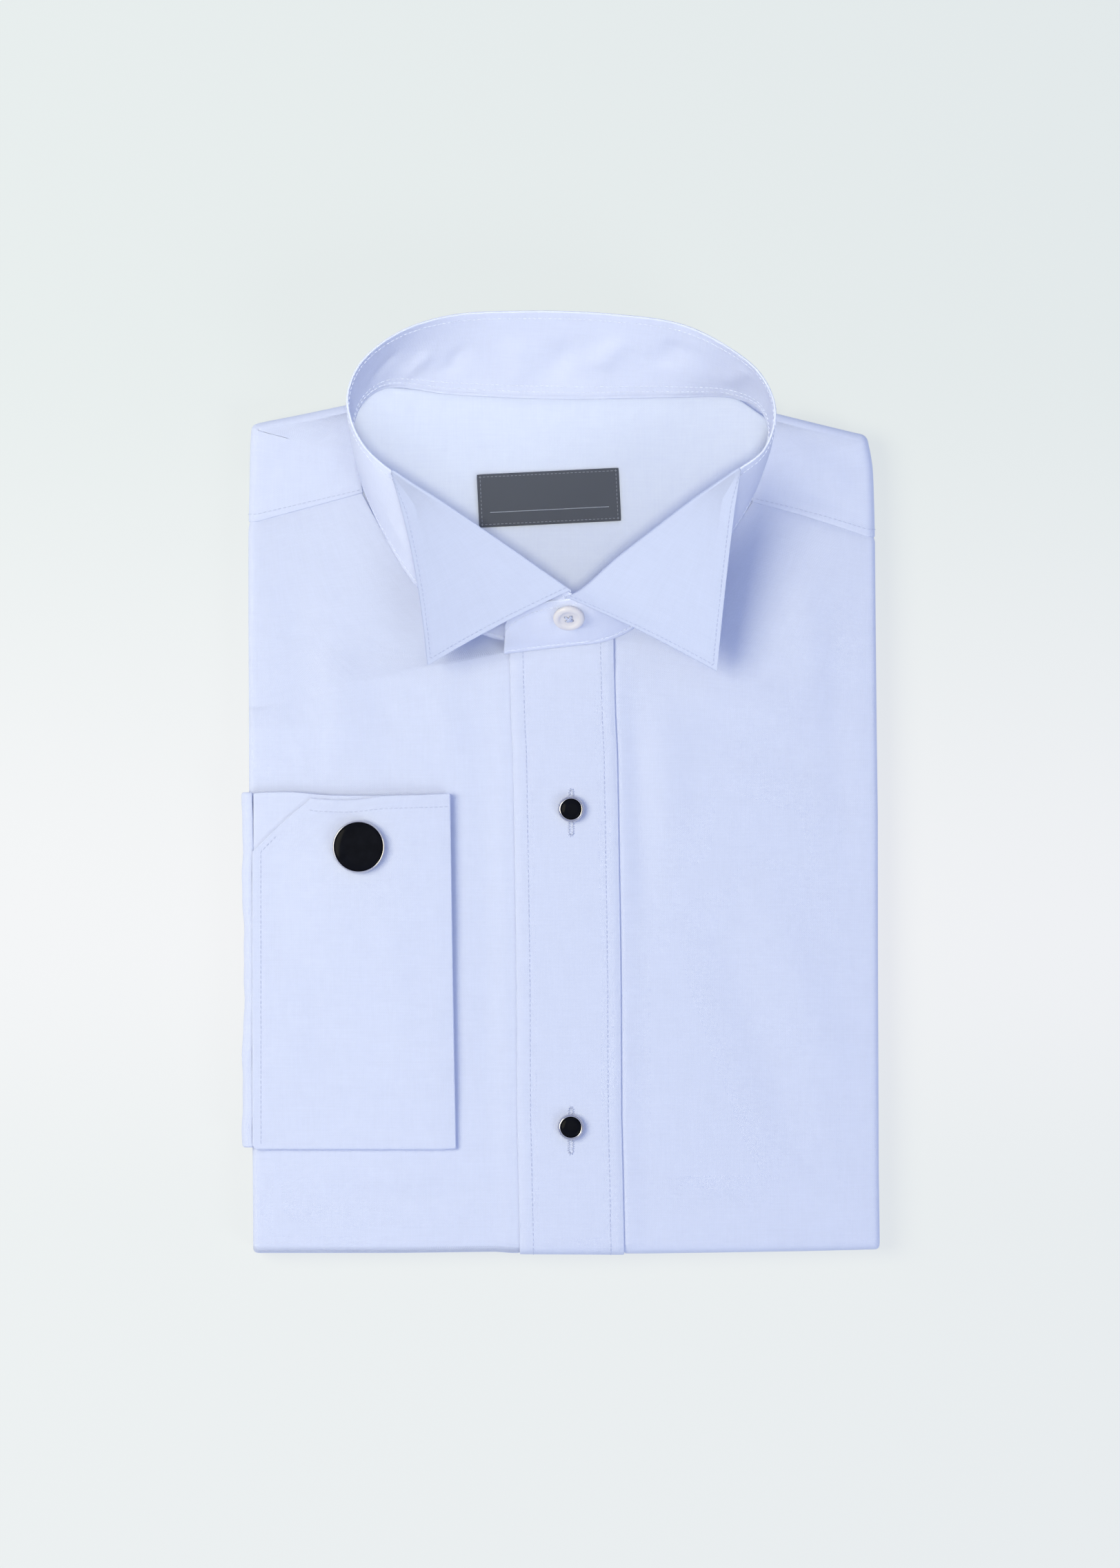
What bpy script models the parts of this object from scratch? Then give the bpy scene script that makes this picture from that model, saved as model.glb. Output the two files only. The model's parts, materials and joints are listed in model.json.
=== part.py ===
"""A folded long sleeve dress shirt: wing collar, stud front and one double cuff.

The shirt lies on its back, folded to a flat packet.  The two fronts, the placket and
the yoke wrap a core of hidden layers.  The collar stands open as a leaning ring.  The
right sleeve comes round from behind the packet and lays its double cuff on the front.

All sizes and tables are in millimetres in the packet's own plan: +X to the wearer's
left, +Y towards the collar, +Z up from the floor.  build_mesh turns them into metres.
"""
import math

import bmesh
import bpy
from mathutils import Matrix, Vector

MM = 0.001

# ---------------------------------------------------------------- driving sizes (mm)
SEAM_GAP = 0.3              # clear space left between two pieces at a seam
CLOTH = 1.2                 # wall of fronts, placket and yoke
LINING = 1.0                # wall of the inner yoke
COLLAR_CLOTH = 1.4          # wall of collar band and wings, which are interlined
CUFF_CLOTH = 1.0            # wall of each of the cuff's four layers

FOLD_AXIS_Z = 5.5           # height of the axis that the bottom fold turns round
FOLD_AXIS_Y = -165.3        # its place along the packet
FOLD_SQUASH = 0.8           # how flat the fold is pressed
FRONT_N_TOP = 7.5           # face of the fronts above the fold axis, on top
FRONT_N_UNDER = 5.5         # and below it, on the underside
RETURN_N = 1.5              # face of the turned-in sides, from the same axis
RETURN_REACH = 75.0         # how near to the middle the turned-in sides come
PLACKET_N_TOP = FRONT_N_TOP + SEAM_GAP + CLOTH
PLACKET_WIDTH = 38.0
PLACKET_OVERHANG = 2.4      # how far the placket laps past the edge of the right front
FLAP_END = 112.0            # where the turned-up bottom half ends on the underside

FRONT_TOP_Z = FOLD_AXIS_Z + FRONT_N_TOP
PLACKET_TOP_Z = FOLD_AXIS_Z + PLACKET_N_TOP
PLATE_Z = FOLD_AXIS_Z + RETURN_N          # underside of the yoke's back
LINING_Z = PLATE_Z + CLOTH + SEAM_GAP     # underside of the inner yoke
LABEL_Z = LINING_Z + LINING + SEAM_GAP
PLATE_END_Y = 96.5          # where the yoke's back ends, under the inner yoke

# y, left edge x, right edge x of the packet
SIDE_EDGES = (
    (-175.0, -111.5, 115.5),
    (-140.0, -112.5, 115.1),
    (-60.0, -113.0, 114.5),
    (20.0, -113.2, 114.1),
    (95.0, -113.3, 113.9),
    (130.0, -112.3, 113.0),
)
# y, middle x of the placket
PLACKET_LINE = ((-175.0, 3.6), (50.0, -0.1))
# x, y of a front's neck edge, y where the same row of points meets the side
NECK_ROWS_RIGHT = (
    (-72.3, 105.0, 94.6),
    (-62.8, 87.8, 79.0),
    (-52.6, 71.8, 66.0),
    (-38.0, 58.8, 54.0),
    (-24.0, 52.6, 46.0),
    (-10.0, 50.7, 40.0),
    (3.0, 51.8, 34.0),
    (15.6, 53.4, 28.0),
)
NECK_ROWS_LEFT = (
    (69.3, 101.5, 89.0),
    (61.5, 90.4, 80.0),
    (45.0, 72.2, 64.0),
    (27.0, 56.8, 50.0),
    (19.4, 52.9, 42.0),
)
PLACKET_ROWS = (47.0, 10.0, -30.0, -80.0, -130.0)    # y of the placket's rows on top
PANEL_ROWS = (20.0, -10.0, -60.0, -110.0, -140.0)    # y of the rows below the neck
UNDER_ROWS = (-120.0, -20.0, 60.0)                   # y of the rows on the underside
# x, y of the seams between yoke and fronts
YOKE_SEAM_RIGHT = ((-130.0, 90.6), (-60.0, 108.1))
YOKE_SEAM_LEFT = ((60.0, 104.0), (89.5, 97.3), (130.0, 83.8))

# x, y, z of the collar seam, from the upper end round the neck to the lower end
SEAM_LINE = (
    (-20.5, 47.0, 15.4),
    (-9.0, 48.4, 15.4),
    (3.0, 49.8, 15.4),
    (16.0, 51.6, 15.4),
    (27.0, 56.8, 14.4),
    (45.0, 72.2, 14.0),
    (61.5, 90.4, 13.9),
    (69.5, 104.4, 13.9),
    (74.0, 118.0, 13.9),
    (75.3, 128.0, 13.7),
    (72.0, 135.8, 11.6),
    (62.5, 139.9, 10.6),
    (40.0, 140.2, 10.5),
    (0.0, 139.6, 10.5),
    (-40.0, 141.3, 10.5),
    (-63.5, 143.6, 10.6),
    (-71.8, 138.4, 11.8),
    (-75.4, 130.0, 13.7),
    (-74.4, 119.0, 13.9),
    (-71.6, 107.0, 13.9),
    (-62.8, 87.8, 13.9),
    (-52.6, 71.8, 13.9),
    (-38.0, 58.8, 13.9),
    (-24.0, 52.6, 13.9),
    (-10.0, 50.7, 13.9),
    (3.0, 51.8, 13.9),
    (15.0, 53.7, 13.9),
)
# x, y, z of the band's top edge, from the upper end round the neck to the lower end
TOP_LINE = (
    (-19.8, 54.6, 25.0),
    (-17.2, 58.6, 29.4),
    (-10.5, 61.9, 33.2),
    (-2.0, 63.8, 35.6),
    (4.6, 65.4, 37.0),
    (8.2, 69.6, 39.4),
    (19.0, 78.8, 40.6),
    (32.0, 89.0, 41.0),
    (47.0, 100.6, 41.2),
    (63.4, 112.2, 42.0),
    (72.0, 118.6, 44.4),
    (75.9, 127.6, 47.4),
    (75.8, 136.0, 48.4),
    (71.3, 145.6, 47.0),
    (62.9, 153.2, 44.6),
    (44.0, 163.4, 41.6),
    (17.3, 168.0, 40.0),
    (-13.3, 169.0, 40.0),
    (-40.4, 167.2, 41.6),
    (-58.7, 160.2, 44.6),
    (-71.6, 149.6, 47.4),
    (-76.3, 138.6, 48.6),
    (-75.2, 129.8, 47.6),
    (-70.6, 120.6, 45.0),
    (-60.2, 111.2, 42.0),
    (-44.5, 100.6, 41.2),
    (-28.0, 89.4, 41.0),
    (-12.5, 78.8, 40.4),
    (1.0, 69.6, 39.0),
    (8.4, 65.0, 33.0),
    (13.6, 60.2, 25.0),
)
BAND_BOW = 0.7              # how far the band swells outwards at half height
BAND_STATIONS = 84

WING_ROLL = 1.7             # radius of the rolled fold at the head of each wing
WING_BOW = 1.6              # how far a wing swells between its fold and its edge
WING_STATIONS = 13
WING_LAST = 0.90            # where a wing stops short of its fold's far end
# name, first x and last x of the fold on the top edge, tip, inward bow of the outer edge
WINGS = (
    ("collar_wing_left", 8.2, 64.0, (56.6, 41.2, 21.0), 0.4),
    ("collar_wing_right", 0.2, -61.0, (-47.4, 42.9, 21.0), 1.9),
)

LABEL_SIZE = (51.6, 19.3, 0.8)
LABEL_CENTRE = (-4.5, 103.5)
LABEL_TURN = 2.8            # degrees

CUFF_TOP_Y = -3.6
CUFF_FOLD_Y = -131.0        # axis of the cuff's lower fold
CUFF_REST_Z = FRONT_TOP_Z + 2.95
CUFF_LIFT = 2.4             # how far the link's toggle lifts the open end
CUFF_LIFT_FROM = -88.0
CUFF_LIFT_TO = -36.0
CUFF_INNER_N = 0.25         # inner layer's near face, from the flattened cuff's middle
CUFF_FREE_X = -112.2        # free edge of the turned-back layer
CUFF_BACK_SHIFT = 3.2       # how much further in that edge lies on the cuff's back
CUFF_SEAM_X = -108.4        # seam of cuff and sleeve, under the turned-back layer
CUFF_MITRE = 21.5           # length of the mitred corner along each edge
CUFF_ROWS = (-36.0, -50.0, -62.0, -74.0, -88.0, -110.0)    # y of its rows below the mitre
# y, x of the cuff's turned-back edge
CUFF_TURN_LINE = ((-134.0, -36.5), (-70.0, -38.3), (-3.0, -40.0))

SLEEVE_CLOTH = 2.3          # both layers of the flattened sleeve
SLEEVE_OUT_X = -115.7       # outermost face where the sleeve bends round the packet
SLEEVE_END_X = -95.5        # where it goes in under the hidden layers
SLEEVE_Z = 5.5              # middle of the flattened sleeve behind the packet
SLEEVE_Y = (-131.4, -4.6)   # its lower and upper edge
SLEEVE_UPPER_BEND = 3.9     # radius of its middle where it comes over the packet's edge
SLEEVE_LOWER_BEND = 2.0     # and where it goes in behind

LINK_CENTRE = (-73.3, -23.2)
LINK_RADIUS = 9.5
LINK_STONE_RADIUS = 8.4
LINK_HEIGHT = 3.2
LINK_TOGGLE = (16.0, 5.0, 1.9)   # length, width, thickness
STUD_CENTRES = (("stud_upper", 3.5, -9.6), ("stud_lower", 3.4, -124.8))
STUD_RADIUS = 4.7
STUD_STONE_RADIUS = 3.7
STUD_HEIGHT = 2.6
STUD_BACK_RADIUS = 4.6
STUD_BACK_THICKNESS = 0.9
POST_RADIUS = 1.2
POST_HOLE_RADIUS = POST_RADIUS + SEAM_GAP

BUTTON_THICKNESS = 2.2
# radius, height: the button from its flat back over the rim to its dished middle
BUTTON_PROFILE = (
    (0.0, 0.0),
    (4.6, 0.0),
    (5.5, 0.5),
    (5.7, 1.1),
    (5.4, 1.8),
    (4.7, BUTTON_THICKNESS),
    (3.7, BUTTON_THICKNESS),
    (3.1, BUTTON_THICKNESS - 0.5),
    (0.0, BUTTON_THICKNESS - 0.6),
)
BUTTON_ALONG = 0.0535       # fraction of the band's length from its upper end
BUTTON_UP = 0.66            # fraction of the band's height
BUTTON_HOLE_RADIUS = 0.75
BUTTON_HOLE_PITCH = 1.25    # from the button's middle to each hole, along both axes

SLOT_DEPTH = 41.0           # how deep the turned-in sides go between the hidden layers
# inset from the packet's outline, z: edges of the three stacks of hidden layers
CORE_PROFILE = (
    (4.6, 1.5),
    (3.0, 2.0),
    (4.6, 2.5),
    (SLOT_DEPTH, 2.5),
    (SLOT_DEPTH, 4.3),
    (2.1, 4.3),
    (1.0, 4.8),
    (1.6, 5.4),
    (1.1, 6.1),
    (2.2, 6.7),
    (SLOT_DEPTH, 6.7),
    (SLOT_DEPTH, 8.5),
    (5.4, 8.5),
    (4.2, 9.1),
    (4.0, 10.0),
    (4.3, 10.9),
    (5.6, 11.5),
)

ROUND_STEPS = 40
SMALL_ROUND_STEPS = 28
BUTTON_HOLE_STEPS = 10
TURN_STEPS = 8              # stations round the bottom fold
SIDE_STEPS = 6              # columns round a side fold

# name: base colour, roughness, metallic
FINISHES = {
    "cotton": ((0.73, 0.79, 0.99), 0.82, 0.0),
    "cotton_lining": ((0.80, 0.85, 0.99), 0.82, 0.0),
    "label_weave": ((0.075, 0.083, 0.100), 0.75, 0.0),
    "button_resin": ((0.80, 0.77, 0.78), 0.35, 0.0),
    "silver": ((0.78, 0.78, 0.80), 0.18, 1.0),
    "onyx": ((0.010, 0.011, 0.014), 0.12, 0.0),
}


# ---------------------------------------------------------------- small helpers
def clear_scene():
    for old in list(bpy.data.objects):
        bpy.data.objects.remove(old, do_unlink=True)


def finish(name):
    """The named material, made once."""
    material = bpy.data.materials.get(name)
    if material is None:
        colour, roughness, metallic = FINISHES[name]
        material = bpy.data.materials.new(name)
        material.use_nodes = True
        shader = material.node_tree.nodes["Principled BSDF"]
        shader.inputs["Base Color"].default_value = (*colour, 1.0)
        shader.inputs["Roughness"].default_value = roughness
        shader.inputs["Metallic"].default_value = metallic
        material.diffuse_color = (*colour, 1.0)
    return material


def lerp(first, last, part):
    return first + (last - first) * part


def smooth(part):
    """Eased 0..1 of a clamped 0..1."""
    part = min(max(part, 0.0), 1.0)
    return part * part * (3.0 - 2.0 * part)


def read_table(rows, key, column=1):
    """Value of a column at key, between the rows of a table sorted by its first column."""
    for low, high in zip(rows, rows[1:]):
        if key <= high[0]:
            return lerp(low[column], high[column], (key - low[0]) / (high[0] - low[0]))
    low, high = rows[-2], rows[-1]
    return lerp(low[column], high[column], (key - low[0]) / (high[0] - low[0]))


def side_x(side, y):
    """Edge of the packet at y: side -1 is the wearer's right, +1 the left."""
    return read_table(SIDE_EDGES, y, 1 if side < 0 else 2)


def placket_x(y):
    return read_table(PLACKET_LINE, y)


def spline(points, count):
    """count points at equal steps along a centripetal Catmull-Rom curve."""
    dots = [Vector(p) for p in points]
    dots = [dots[0] * 2 - dots[1]] + dots + [dots[-1] * 2 - dots[-2]]
    fine = []
    for a, b, c, d in zip(dots, dots[1:], dots[2:], dots[3:]):
        ka = 0.0
        kb = ka + (b - a).length ** 0.5
        kc = kb + (c - b).length ** 0.5
        kd = kc + (d - c).length ** 0.5
        for step in range(16):
            k = lerp(kb, kc, step / 16)
            ab = a.lerp(b, (k - ka) / (kb - ka))
            bc = b.lerp(c, (k - kb) / (kc - kb))
            cd = c.lerp(d, (k - kc) / (kd - kc))
            left = ab.lerp(bc, (k - ka) / (kc - ka))
            right = bc.lerp(cd, (k - kb) / (kd - kb))
            fine.append(left.lerp(right, (k - kb) / (kc - kb)))
    fine.append(dots[-2])
    reach = [0.0]
    for a, b in zip(fine, fine[1:]):
        reach.append(reach[-1] + (b - a).length)
    out, at = [], 0
    for step in range(count):
        goal = reach[-1] * step / (count - 1)
        while at < len(fine) - 2 and reach[at + 1] < goal:
            at += 1
        part = (goal - reach[at]) / (reach[at + 1] - reach[at])
        out.append(fine[at].lerp(fine[at + 1], part))
    return out


def inset(outline, distance):
    """A clockwise outline moved inwards by distance, with mitred corners."""
    moved = []
    count = len(outline)
    for i, corner in enumerate(outline):
        before, after = Vector(outline[i - 1]), Vector(outline[(i + 1) % count])
        corner = Vector(corner)
        enter, leave = (corner - before).normalized(), (after - corner).normalized()
        normal = Vector((enter.y + leave.y, -enter.x - leave.x)).normalized()
        square = Vector((enter.y, -enter.x)).dot(normal)
        moved.append(corner + normal * (distance / square))
    return moved


# ---------------------------------------------------------------- mesh makers
def build_mesh(name, finish_name, bm, cutter=False):
    """A linked object from a bmesh in millimetres, faces turned outwards."""
    bmesh.ops.recalc_face_normals(bm, faces=bm.faces)
    bmesh.ops.scale(bm, vec=(MM, MM, MM), verts=bm.verts)
    mesh = bpy.data.meshes.new(name)
    bm.to_mesh(mesh)
    bm.free()
    mesh.materials.append(finish(finish_name))
    mesh.shade_smooth()
    mesh.set_sharp_from_angle(angle=math.radians(35.0))
    made = bpy.data.objects.new(name, mesh)
    bpy.context.scene.collection.objects.link(made)
    if cutter:
        made.hide_render = True
        made.display_type = "WIRE"
    return made


def wall(name, finish_name, outer, inner):
    """A cloth wall between two equal grids of points, closed all round its edge."""
    bm = bmesh.new()
    near = [[bm.verts.new(p) for p in row] for row in outer]
    far = [[bm.verts.new(p) for p in row] for row in inner]
    rows, columns = len(near), len(near[0])
    for r in range(rows - 1):
        for c in range(columns - 1):
            bm.faces.new((near[r][c], near[r][c + 1], near[r + 1][c + 1], near[r + 1][c]))
            bm.faces.new((far[r][c], far[r + 1][c], far[r + 1][c + 1], far[r][c + 1]))
        for c in (0, columns - 1):
            bm.faces.new((near[r][c], near[r + 1][c], far[r + 1][c], far[r][c]))
    for r in (0, rows - 1):
        for c in range(columns - 1):
            bm.faces.new((near[r][c], far[r][c], far[r][c + 1], near[r][c + 1]))
    return build_mesh(name, finish_name, bm)


def stack(name, finish_name, loops, cutter=False):
    """A closed solid through equal loops of points, with a flat cap at each end."""
    bm = bmesh.new()
    rings = [[bm.verts.new(p) for p in loop] for loop in loops]
    count = len(rings[0])
    for low, high in zip(rings, rings[1:]):
        for i in range(count):
            j = (i + 1) % count
            bm.faces.new((low[i], low[j], high[j], high[i]))
    bm.faces.new(rings[0])
    bm.faces.new(rings[-1])
    return build_mesh(name, finish_name, bm, cutter)


def slab(name, finish_name, outline, low, high, cutter=False):
    """A plan outline between two heights."""
    loops = [[(x, y, z) for x, y in outline] for z in (low, high)]
    return stack(name, finish_name, loops, cutter)


def turned(name, finish_name, profile, steps, place, cutter=False):
    """A profile of (radius, height) spun round its axis and put in place by a matrix."""
    bm = bmesh.new()
    line = [bm.verts.new((r, 0.0, h)) for r, h in profile]
    edges = [bm.edges.new(pair) for pair in zip(line, line[1:])]
    bmesh.ops.spin(bm, geom=line + edges, cent=(0, 0, 0), axis=(0, 0, 1),
                   angle=math.tau, steps=steps, use_merge=True)
    bmesh.ops.remove_doubles(bm, verts=bm.verts, dist=0.001)
    bmesh.ops.transform(bm, matrix=place, verts=bm.verts)
    return build_mesh(name, finish_name, bm, cutter)


def rod(name, radius, low, high, place, steps=SMALL_ROUND_STEPS):
    """A round cutter."""
    profile = ((0.0, low), (radius, low), (radius, high), (0.0, high))
    return turned(name, "silver", profile, steps, place, cutter=True)


def combine(target, other, operation="DIFFERENCE"):
    cut = target.modifiers.new(operation.lower(), "BOOLEAN")
    cut.operation = operation
    cut.solver = "EXACT"
    cut.object = other


# ---------------------------------------------------------------- fronts and placket
def fold_point(x, n, y, turn):
    """A point n from the fold axis: turn 0 is on top, 1 underneath."""
    angle = math.pi * turn
    along = y - FOLD_SQUASH * n * math.sin(angle)
    return (x, along, FOLD_AXIS_Z + n * math.cos(angle))


def fold_stations(first_turn, end_y):
    """(y, turn) of each station from first_turn round the fold and up the underside."""
    stations = [(FOLD_AXIS_Y, step / TURN_STEPS) for step in range(first_turn, TURN_STEPS + 1)]
    stations += [(y, 1.0) for y in (*UNDER_ROWS, end_y)]
    return stations


def front_section(side, x_in, x_out, turn):
    """Outer and inner (x, n, share) of a front: panel, side fold and turned-in side.

    share runs from 0 at the inner edge to 1 at the side and stays there.
    """
    face = lerp(FRONT_N_TOP, FRONT_N_UNDER, turn)
    radius = (face - RETURN_N) / 2
    middle = RETURN_N + radius
    bend_x = x_out - side * radius
    outer, inner = [], []
    for step in range(5):
        share = step / 4
        x = lerp(x_in, bend_x, share)
        outer.append((x, face, share))
        inner.append((x, face - CLOTH, share))
    for step in range(1, SIDE_STEPS):
        angle = math.pi / 2 - math.pi * step / SIDE_STEPS
        for points, r in ((outer, radius), (inner, radius - CLOTH)):
            points.append((bend_x + side * r * math.cos(angle), middle + r * math.sin(angle), 1.0))
    for x in (bend_x, side * RETURN_REACH):
        outer.append((x, RETURN_N, 1.0))
        inner.append((x, RETURN_N + CLOTH, 1.0))
    return outer, inner


def beside_placket(side, y):
    """Where a front's edge runs clear beside the placket, round the bottom fold."""
    return placket_x(y) + side * (PLACKET_WIDTH / 2 + 2 * SEAM_GAP)


def front_rows(side):
    """(inner x, inner y, side y) of each row from the yoke seam to the bottom fold."""
    rows = list(NECK_ROWS_RIGHT if side < 0 else NECK_ROWS_LEFT)
    under_placket = PLACKET_WIDTH / 2 - PLACKET_OVERHANG
    for y in PANEL_ROWS:
        if side < 0:
            x = placket_x(y) + under_placket
        else:
            x = placket_x(y) + under_placket + SEAM_GAP
        rows.append((x, y, y))
    for y in (FOLD_AXIS_Y + 5.0, FOLD_AXIS_Y):
        rows.append((beside_placket(side, y), y, y))
    return rows


def make_front(name, side):
    """One front: its panel, side fold and turned-in side, carried round the bottom fold."""
    outer_grid, inner_grid = [], []
    stations = [(x, y, edge, 0.0) for x, y, edge in front_rows(side)]
    for y, turn in fold_stations(1, FLAP_END):
        stations.append((beside_placket(side, y), y, y, turn))
    for x_in, y_in, y_side, turn in stations:
        outer, inner = front_section(side, x_in, side_x(side, y_side), turn)
        for grid, points in ((outer_grid, outer), (inner_grid, inner)):
            grid.append([fold_point(x, n, lerp(y_in, y_side, share), turn)
                         for x, n, share in points])
    return wall(name, "cotton", outer_grid, inner_grid)


def make_placket():
    """The straight band down the left front, flush with the fronts underneath."""
    stations = [(y, 0.0) for y in PLACKET_ROWS] + fold_stations(0, FLAP_END - 2 * SEAM_GAP)
    outer_grid, inner_grid = [], []
    for index, (y, turn) in enumerate(stations):
        face = lerp(PLACKET_N_TOP, FRONT_N_UNDER, turn)
        outer, inner = [], []
        for step in range(5):
            x = placket_x(y) + PLACKET_WIDTH * (step / 4 - 0.5)
            at = neck_y(x) if index == 0 else y
            outer.append(fold_point(x, face, at, turn))
            inner.append(fold_point(x, face - CLOTH, at, turn))
        outer_grid.append(outer)
        inner_grid.append(inner)
    return wall("placket", "cotton", outer_grid, inner_grid)


def neck_y(x):
    """The collar seam's y at x on the upper end of the band."""
    return read_table(SEAM_LINE[:5], x)


# ---------------------------------------------------------------- yoke and core
# x, y of the packet's outline round the shoulders and the back of the neck, clockwise
YOKE_OUTLINE = (
    (-113.2, 60.0),
    (-113.3, 95.0),
    (-112.8, 119.0),
    (-111.9, 127.9),
    (-109.6, 130.0),
    (-78.3, 136.6),
    (-67.0, 145.0),
    (-40.0, 142.6),
    (0.0, 140.9),
    (40.0, 141.5),
    (63.0, 141.5),
    (78.3, 134.3),
    (109.2, 126.9),
    (111.6, 124.4),
    (113.2, 114.0),
    (113.8, 95.0),
    (114.0, 60.0),
)
# x, y of the back of the cut that opens the yoke at the neck
NECK_CUT_BACK = (
    (76.6, 128.0),
    (77.2, 140.0),
    (70.0, 155.0),
    (-70.0, 155.0),
    (-77.2, 141.0),
    (-76.8, 130.0),
)
# x, y of the core's plainer outline, clockwise
CORE_OUTLINE = (
    (-112.0, FOLD_AXIS_Y),
    (-113.0, 20.0),
    (-112.4, 129.0),
    (0.0, 136.8),
    (112.6, 125.4),
    (114.0, 20.0),
    (115.0, FOLD_AXIS_Y),
)
# x, y of the inner yoke, clockwise
LINING_OUTLINE = (
    (-84.0, 82.0),
    (-84.0, 130.2),
    (-77.2, 132.4),
    (-67.0, 144.0),
    (-40.0, 142.0),
    (0.0, 140.3),
    (40.0, 140.9),
    (62.6, 140.6),
    (77.2, 130.4),
    (84.0, 128.2),
    (84.0, 82.0),
    (62.0, 54.0),
    (34.0, 43.0),
    (-34.0, 43.0),
    (-62.0, 54.0),
)


def pillow(name, shrink, cutter=False):
    """The yoke's outline as a flat pillow with round edges, shrunk on every side."""
    low, high = PLATE_Z + shrink, FRONT_TOP_Z - shrink
    radius = (high - low) / 2
    loops = []
    for step in range(SIDE_STEPS + 1):
        angle = -math.pi / 2 + math.pi * step / SIDE_STEPS
        ring = inset(YOKE_OUTLINE, shrink + radius * (1.0 - math.cos(angle)))
        loops.append([(x, y, (low + high) / 2 + radius * math.sin(angle)) for x, y in ring])
    return stack(name, "cotton", loops, cutter)


def make_yoke():
    """The yoke: over both shoulders, open at the neck and where the fronts join it."""
    yoke = pillow("yoke", 0.0)
    combine(yoke, pillow("yoke_hollow", CLOTH, cutter=True))
    front = [(p.x, p.y) for p in spline(SEAM_LINE[3:9], 14)]
    far_side = [(p.x, p.y) for p in spline(SEAM_LINE[18:24], 14)]
    above_plate = PLATE_Z + CLOTH + 0.1
    over_all = FRONT_TOP_Z + 5.0
    neck = slab("neck_cut", "cotton", front + list(NECK_CUT_BACK) + far_side,
                above_plate, over_all, True)
    combine(yoke, neck)
    right = [(x, y + SEAM_GAP / 2) for x, y in YOKE_SEAM_RIGHT]
    left = [(x, y + SEAM_GAP / 2) for x, y in YOKE_SEAM_LEFT]
    seam = slab("seam_cut", "cotton", right + left + [(130.0, 0.0), (-130.0, 0.0)],
                above_plate, over_all, True)
    combine(yoke, seam)
    plate_x = RETURN_REACH - SEAM_GAP
    below = slab("below_cut", "cotton",
                 [(-130.0, right[0][1]), (-plate_x, read_table(right, -plate_x)),
                  (-plate_x, PLATE_END_Y), (plate_x, PLATE_END_Y),
                  (plate_x, read_table(left, plate_x)), left[1], left[2],
                  (130.0, 0.0), (-130.0, 0.0)],
                 0.0, over_all, True)
    combine(yoke, below)
    return yoke


def make_lining():
    return slab("yoke_lining", "cotton_lining", LINING_OUTLINE, LINING_Z, LINING_Z + LINING)


def make_label():
    """A plain woven patch on the inner yoke."""
    length, width, thick = LABEL_SIZE
    turn = Matrix.Rotation(math.radians(LABEL_TURN), 2)
    corners = ((-1, -1), (-1, 1), (1, 1), (1, -1))
    outline = [turn @ Vector((length / 2 * sx, width / 2 * sy)) + Vector(LABEL_CENTRE)
               for sx, sy in corners]
    return slab("label", "label_weave", outline, LABEL_Z, LABEL_Z + thick)


def make_core():
    """The hidden layers: back, tail, both sleeves and the other cuff as one solid."""
    loops = [[(x, y, z) for x, y in inset(CORE_OUTLINE, distance)]
             for distance, z in CORE_PROFILE]
    core = stack("hidden_layers", "cotton", loops)
    neck = slab("core_neck_cut", "cotton", inset(LINING_OUTLINE, -0.5),
                LINING_Z - SEAM_GAP, FRONT_TOP_Z, True)
    combine(core, neck)
    low_y, high_y = SLEEVE_Y
    end = SLEEVE_END_X + SEAM_GAP
    pocket = [(-130.0, low_y - 0.6), (-130.0, high_y + 0.6), (end, high_y + 0.6), (end, low_y - 0.6)]
    combine(core, slab("sleeve_pocket", "cotton", pocket, 4.0, 7.0, True))
    for name, x, y in STUD_CENTRES:
        place = Matrix.Translation((x, y, 0.0))
        floor = FRONT_TOP_Z - CLOTH - 2 * SEAM_GAP - STUD_BACK_THICKNESS
        combine(core, rod(name + "_pocket", STUD_BACK_RADIUS + SEAM_GAP, floor, FRONT_TOP_Z, place))
    return core


# ---------------------------------------------------------------- collar
SEAM_CURVE = spline(SEAM_LINE, BAND_STATIONS)
TOP_CURVE = spline(TOP_LINE, BAND_STATIONS)


def band_frame(along):
    """Seam point, rise and outward normal of the band at a fraction of its length."""
    at = along * (BAND_STATIONS - 1)
    index = min(int(at), BAND_STATIONS - 2)
    part = at - index
    seam = SEAM_CURVE[index].lerp(SEAM_CURVE[index + 1], part)
    top = TOP_CURVE[index].lerp(TOP_CURVE[index + 1], part)
    before, after = max(index - 1, 0), min(index + 2, BAND_STATIONS - 1)
    run = (SEAM_CURVE[after] - SEAM_CURVE[before]) + (TOP_CURVE[after] - TOP_CURVE[before])
    rise = top - seam
    normal = run.cross(rise).normalized()
    return seam, rise, normal


def band_point(along, up, out):
    """A point on the band: up is 0 at the seam and 1 at the top edge."""
    seam, rise, normal = band_frame(along)
    return seam + rise * up + normal * (out + BAND_BOW * math.sin(math.pi * up))


def make_band():
    """The collar band, one open strip whose ends lap over each other at the front."""
    half = COLLAR_CLOTH / 2
    outer_grid, inner_grid = [], []
    for station in range(BAND_STATIONS):
        along = station / (BAND_STATIONS - 1)
        ups = (0.0, 0.3, 0.65, 1.0)
        outer_grid.append([band_point(along, up, half) for up in ups])
        inner_grid.append([band_point(along, up, -half) for up in ups])
    return wall("collar_band", "cotton", outer_grid, inner_grid)


def top_fraction(x, start, stop):
    """Where the band's top edge passes x, as a fraction of its length."""
    steps = 400
    best = min(range(steps + 1),
               key=lambda s: abs(band_point(lerp(start, stop, s / steps), 1.0, 0.0).x - x))
    return lerp(start, stop, best / steps)


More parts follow.
